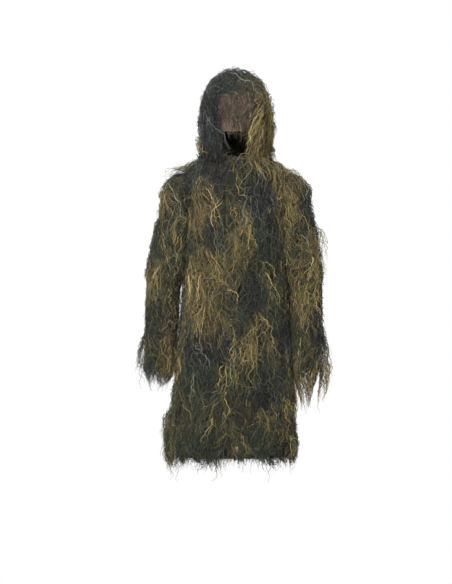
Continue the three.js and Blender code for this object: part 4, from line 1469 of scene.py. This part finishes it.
def hood_shell():
    dome = np.linspace(0, math.acos(CROWN_HALF / HOOD_HALF[0]) - 0.01, 22)
    levels = np.r_[np.linspace(HOOD_BASE_Z, DOME_Z, 16)[:-1], DOME_Z + HOOD_HALF[1] * np.sin(dome)]
    place = bends("coat", "hood", *NECK_BLEND)
    for side, sign in SIGNS.items():
        rows = []
        for z in levels:
            rim = max(arch_half(z, 0.006), CROWN_HALF)
            angles = np.linspace(hood_angle(rim, z, False), hood_angle(CROWN_HALF, z, True), 40)
            rows.append(hood_point(angles, z) * [sign, 1, 1])
        obj = grid_object(f"hood_{side}_net", np.stack(rows), NET)
        sheet_piece(obj, "netting", f"hood_{side}_panel", place, rests_on=["shoulder_yoke_net"])

    rows = []
    x = np.linspace(-CROWN_HALF, CROWN_HALF, 12)
    squash = np.sqrt(1 - (x / HOOD_HALF[0]) ** 2)
    dome_r = HOOD_HALF[1] - NET_INSIDE
    front = math.asin((BROW_Z + 0.005 - DOME_Z) / HOOD_HALF[1])
    for turn in np.linspace(front, math.pi, 44):
        y = HOOD[-1, 3] - dome_r * math.cos(turn) * squash
        rows.append(np.stack([x, y, DOME_Z + dome_r * math.sin(turn) * squash], axis=1))
    for z in np.linspace(DOME_Z, HOOD_BASE_Z, 16)[1:]:
        y = [2 * hood_row(z)[4] - hood_surface(value, z) - NET_INSIDE for value in x]
        rows.append(np.stack([x, y, np.full(len(x), z)], axis=1))
    obj = grid_object("hood_crown_net", np.stack(rows), NET)
    sheet_piece(obj, "netting", "hood_crown_panel", place, rests_on=["hood_left_net"])
    rim_pieces(place)


def rim_line(past_rim, inset):
    """Points along the face opening's edge, up one side, over the brow and down the other."""
    half_width = FACE_HALF + past_rim
    top = BROW_Z + past_rim
    turn = np.linspace(0, math.pi, 60)
    sides = np.linspace(HOOD_BASE_Z + 0.002, top - FACE_HALF, 40)[:-1]
    upright = np.full(len(sides), half_width)
    x = np.r_[upright, half_width * np.cos(turn), -upright]
    z = np.r_[sides, top - FACE_HALF + FACE_HALF * np.sin(turn), sides[::-1]]
    y = hood_front(x, z) + inset
    return np.stack([x, y, z], axis=1)


def flat_tube(name, line, out, wide, deep, sides=12):
    """A closed flat strip with round edges along a line; out is the way its face looks."""
    along = unit(np.gradient(line, axis=0))
    out = unit(out - (out * along).sum(1, keepdims=True) * along)
    across = np.cross(along, out)
    grid = tube_grid(line, across, out, wide, deep, sides, 3)
    rows, columns = grid.shape[:2]
    uv = cloth_uv(np.linspace(0, 2 * (wide + deep) * 2, columns), run_along(line))
    index, faces = grid_faces(rows, columns)
    caps = [tuple(index[0, :-1]), tuple(index[-1, :-1][::-1])]
    return merged(mesh_object(name, grid.reshape(-1, 3), [*faces.reshape(-1, 4), *caps], uv))


def fitting(obj, slot_name, place, node):
    dress(obj, slot_name)
    place(obj)
    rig.replaces(obj, node)


def rim_pieces(place):
    past_rim = 0.0035
    line = rim_line(past_rim, 0)
    _, out = gap_and_away(line, ["hood"])
    binding = flat_tube("hood_rim_tape", line, out, 0.0038, 0.0018)
    fitting(binding, "tape", place, "hood_rim_binding")
    stitches("hood_rim_stitches", rim_line(0.0062, 0) + out * 0.0019, "tape", place)
    elastic = flat_tube("hood_rim_band", rim_line(past_rim, 0.0048), out, 0.0030, 0.0009)
    fitting(elastic, "elastic", place, "hood_rim_elastic")


# ---- Veil ----

VEIL_GAP = 0.0045  # in front of the hood's rim


def veil_lines():
    """Threads down and across the veil, with a ragged lower edge."""
    rng = np.random.default_rng(41)
    half = VEIL_HIGH.x - 0.001
    top, low = VEIL_HIGH.z, VEIL_LOW.z
    steps = SEGMENTS * 2 + 1

    def along(x, z):
        sag = 0.0022 * np.sin(x * 95 + 1.3) * np.clip((top - z) / 0.1, 0, 1)
        y = hood_front(x, z) - VEIL_GAP + sag
        return np.stack([x, y, z], axis=1)

    lines = []
    for x in np.arange(-half, half, 0.0021):
        high = BROW_Z + 0.005 - FACE_HALF + FACE_HALF * math.sqrt(1 - (x / (FACE_HALF + 0.002)) ** 2)
        end = low + 0.006 - rng.exponential(0.008) + 0.006 * math.sin(x * 90)
        z = np.linspace(high, end, steps)
        lines.append(along(x + rng.normal(0, 0.0003, steps), z))
    for z in np.arange(low + 0.004, top - 0.004, 0.0023):
        reach = arch_half(min(z, BROW_Z - 0.002), 0.0) / FACE_HALF * half
        x = np.linspace(-reach, reach, steps)
        lines.append(along(x, z + rng.normal(0, 0.0003, steps)))
    return np.array(lines), rng


def veil():
    lines, rng = veil_lines()
    count, steps = lines.shape[:2]
    shade = rng.uniform(0.75, 1.25, (count, 1, 1)) * rng.uniform(0.85, 1.15, (count, steps, 1))
    tones = linear(190, 163, 141) * shade
    net = strand_mesh("veil_net", lines, np.full(count, 0.00052), tones)
    dress(net, "veil_net")
    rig.ride(net, "veil")
    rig.replaces(net, "face_veil")
    wide, tall = VEIL_HIGH.x - VEIL_LOW.x, VEIL_HIGH.z - VEIL_LOW.z
    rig.sheet(net, flat=(wide, tall), held="hung", rests_on=["veil_band"], area=wide * tall * 0.9)

    tufts = 90
    x, z = rng.uniform(-0.05, 0.05, tufts), rng.uniform(0.14, 0.27, tufts)
    knots = np.stack([x, hood_front(x, z) - VEIL_GAP - 0.001, z], axis=1)
    length, lift = (0.025, 0.06), (0.006, 0.013)
    paths, radius, tones = yarn(knots, VEIL_STRANDS, ["hood"], "veil", length, lift)
    shade = np.exp(rng.normal(-0.2, 0.8, (len(paths), 1, 1)))
    tones = linear(112, 96, 82) * shade * np.ones_like(tones)
    obj = strand_mesh("veil_fuzz", paths, radius * 0.5, tones)
    dress(obj, "veil_net")
    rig.ride(obj, "veil")

    half = VEIL_HIGH.x
    turn = np.linspace(math.pi * 0.12, math.pi * 0.88, 60)
    x = half * np.cos(turn) * 1.06
    z = BROW_Z + 0.011 - FACE_HALF + FACE_HALF * np.sin(turn)
    y = hood_front(x, z) - VEIL_GAP
    line = np.stack([x, y, z], axis=1)
    _, out = gap_and_away(line, ["hood"])
    band = flat_tube("veil_band", line, out, 0.0048, 0.0011)
    fitting(band, "tape", rides("hood"), "veil_brow_tape")
    stitches("veil_band_stitches", line + out * 0.0013, "tape", rides("hood"))


# ---- Snaps and hanger loop ----


def lathe(name, profile, place, toward, sides=28):
    """A turned piece: the profile's radius and height, standing at a place and pointing one way."""
    axis = unit(np.array(toward, float))
    across = unit(np.cross(axis, np.array([0.0, 0.3, 1.0])))
    over = np.cross(axis, across)
    angle = np.arange(sides) * math.tau / sides
    rings = [np.array(place) + axis * profile[0][1]]
    for radius, height in profile[1:-1]:
        for a in angle:
            rings.append(place + axis * height + radius * (math.cos(a) * across + math.sin(a) * over))
    rings.append(np.array(place) + axis * profile[-1][1])
    faces = []
    last = len(rings) - 1
    for k in range(sides):
        after = (k + 1) % sides
        faces.append((0, 1 + after, 1 + k))
        for ring in range(len(profile) - 3):
            a, b = 1 + ring * sides + k, 1 + ring * sides + after
            faces.append((a, b, b + sides, a + sides))
        end = 1 + (len(profile) - 3) * sides
        faces.append((last, end + k, end + after))
    return mesh_object(name, np.array(rings), faces)


# Shares of each snap part's radius and height, from its back to its face.
CAP_PROFILE = ((0, 0), (0.9, 0), (1, 0.2), (1, 0.45), (0.93, 0.62), (0.85, 0.6),
               (0.78, 0.7), (0.6, 0.9), (0.35, 1), (0.12, 0.97), (0, 0.95))
STUD_PROFILE = ((0, 0), (1, 0), (1, 0.25), (0.9, 0.35), (0.55, 0.38), (0.5, 0.7),
                (0.58, 0.85), (0.5, 0.97), (0.2, 1), (0, 1))


def snaps():
    """Domed caps on the flap, with a rolled rim, and ring studs on the front under it."""
    seams = seam_places()
    for node in frame["nodes"]:
        if not node.startswith("snap_"):
            continue
        low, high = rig.box(node)
        middle = (low + high) / 2
        radius, height = (high.x - low.x) / 2, high.y - low.y
        base = np.array([middle.x, high.y, middle.z])
        shares, body = (CAP_PROFILE, "flap") if "cap" in node else (STUD_PROFILE, "front_right")
        profile = [(radius * across, height * up) for across, up in shares]
        obj = lathe(node.replace("snap", "press"), profile, base, (0, -1, 0))
        fitting(obj, "snap_metal", seams[body], node)


def hanger():
    """The loop inside the nape: a flat strap along a rectangle with its corners cut off."""
    low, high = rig.box("hanger_loop")
    strap, thin = 0.0045, 0.0017
    x0, x1 = low.x + strap, high.x - strap
    z0, z1 = low.z + 0.0018, high.z - strap
    y = (low.y + high.y) / 2
    bow = 0.004
    corners_xz = [
        (x0 + bow, z0), (x1 - bow, z0), (x1, z0 + bow), (x1, z1 - bow), (x1 - bow, z1),
        (x0 + bow, z1), (x0, z1 - bow), (x0, z0 + bow), (x0 + bow, z0),
    ]
    line = np.array([(x, y, z) for x, z in corners_xz])
    line = points_at(line, np.linspace(0, run_along(line)[-1], 60))
    out = np.tile([0.0, -1.0, 0.0], (len(line), 1))
    wide = np.where(line[:, 2] < z0 + bow, thin, strap)
    obj = flat_tube("nape_loop", line, out, wide, 0.0009)
    fitting(obj, "tape", rides("coat"), "hanger_loop")


# ---- Stage ----

FLOOR_Z = -1.57
FLOOR_HALF = 60
SKY_LIGHT = 0.17
# Each light: name, place, power and size.
LIGHTS = (
    ("key", (-1.2, -3.8, 2.8), 280, 1.0),
    ("fill", (2.6, -3.2, 0.8), 60, 2.0),
    ("rim", (0.5, 3.6, 2.4), 110, 2.4),
)
LIGHTS_AIM = np.array([0, 0, -0.35])
CAMERA_AT = (-0.034, -6.0, -0.42)
LENS = 107.5


def shown_white(tree, lit, output):
    """Lets the camera see plain white where other rays see the lit shader."""
    kind = tree.nodes.new("ShaderNodeLightPath")
    white = tree.nodes.new("ShaderNodeEmission")
    white.inputs["Strength"].default_value = 1.0
    mix = tree.nodes.new("ShaderNodeMixShader")
    tree.links.new(kind.outputs["Is Camera Ray"], mix.inputs[0])
    tree.links.new(lit.outputs[0], mix.inputs[1])
    tree.links.new(white.outputs[0], mix.inputs[2])
    tree.links.new(mix.outputs[0], output.inputs["Surface"])


def stage():
    world = bpy.data.worlds.new("studio")
    bpy.context.scene.world = world
    world.use_nodes = True
    tree = world.node_tree
    sky = tree.nodes["Background"]
    sky.inputs["Color"].default_value = (1, 1, 1, 1)
    sky.inputs["Strength"].default_value = SKY_LIGHT
    shown_white(tree, sky, tree.nodes["World Output"])

    ways = ((-1, -1), (1, -1), (1, 1), (-1, 1))
    corners = [(x * FLOOR_HALF, y * FLOOR_HALF, FLOOR_Z) for x, y in ways]
    floor = mesh_object("studio_floor", corners, [(0, 1, 2, 3)])
    nodes = Nodes("pale_floor", 0.9)
    nodes.shader.inputs["Base Color"].default_value = (0.8, 0.8, 0.8, 1)
    shown_white(nodes.tree, nodes.shader, nodes.tree.nodes["Material Output"])
    floor.data.materials.append(nodes.material)
    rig.stage(floor)

    for name, place, power, size in LIGHTS:
        lamp = bpy.data.lights.new(name, "AREA")
        lamp.energy = power
        lamp.size = size
        obj = placed(name, lamp)
        obj.location = place
        aim = Vector(LIGHTS_AIM - np.array(place))
        obj.rotation_euler = aim.to_track_quat("-Z", "Y").to_euler()


def camera():
    data = bpy.data.cameras.new("camera")
    data.lens = LENS
    obj = placed("camera", data)
    obj.location = CAMERA_AT
    obj.rotation_euler = (math.pi / 2, 0, 0)
    bpy.context.scene.camera = obj
    bpy.context.scene.view_settings.view_transform = "Standard"


# ---- Make ----

camera()
stage()
body_shell()
collar()
hood_shell()
veil()
snaps()
hanger()
for arm_side in ("left", "right"):
    sleeve_shell(arm_side)
body_yarn()
for arm_side in ("left", "right"):
    sleeve_yarn(arm_side)
hood_yarn()
brow_yarn()

corners = {"cad": [list(c) for c in CAD_BOX], "visual": [list(c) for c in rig.bounds()]}
with open("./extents.json", "w") as size_file:
    json.dump(corners, size_file)
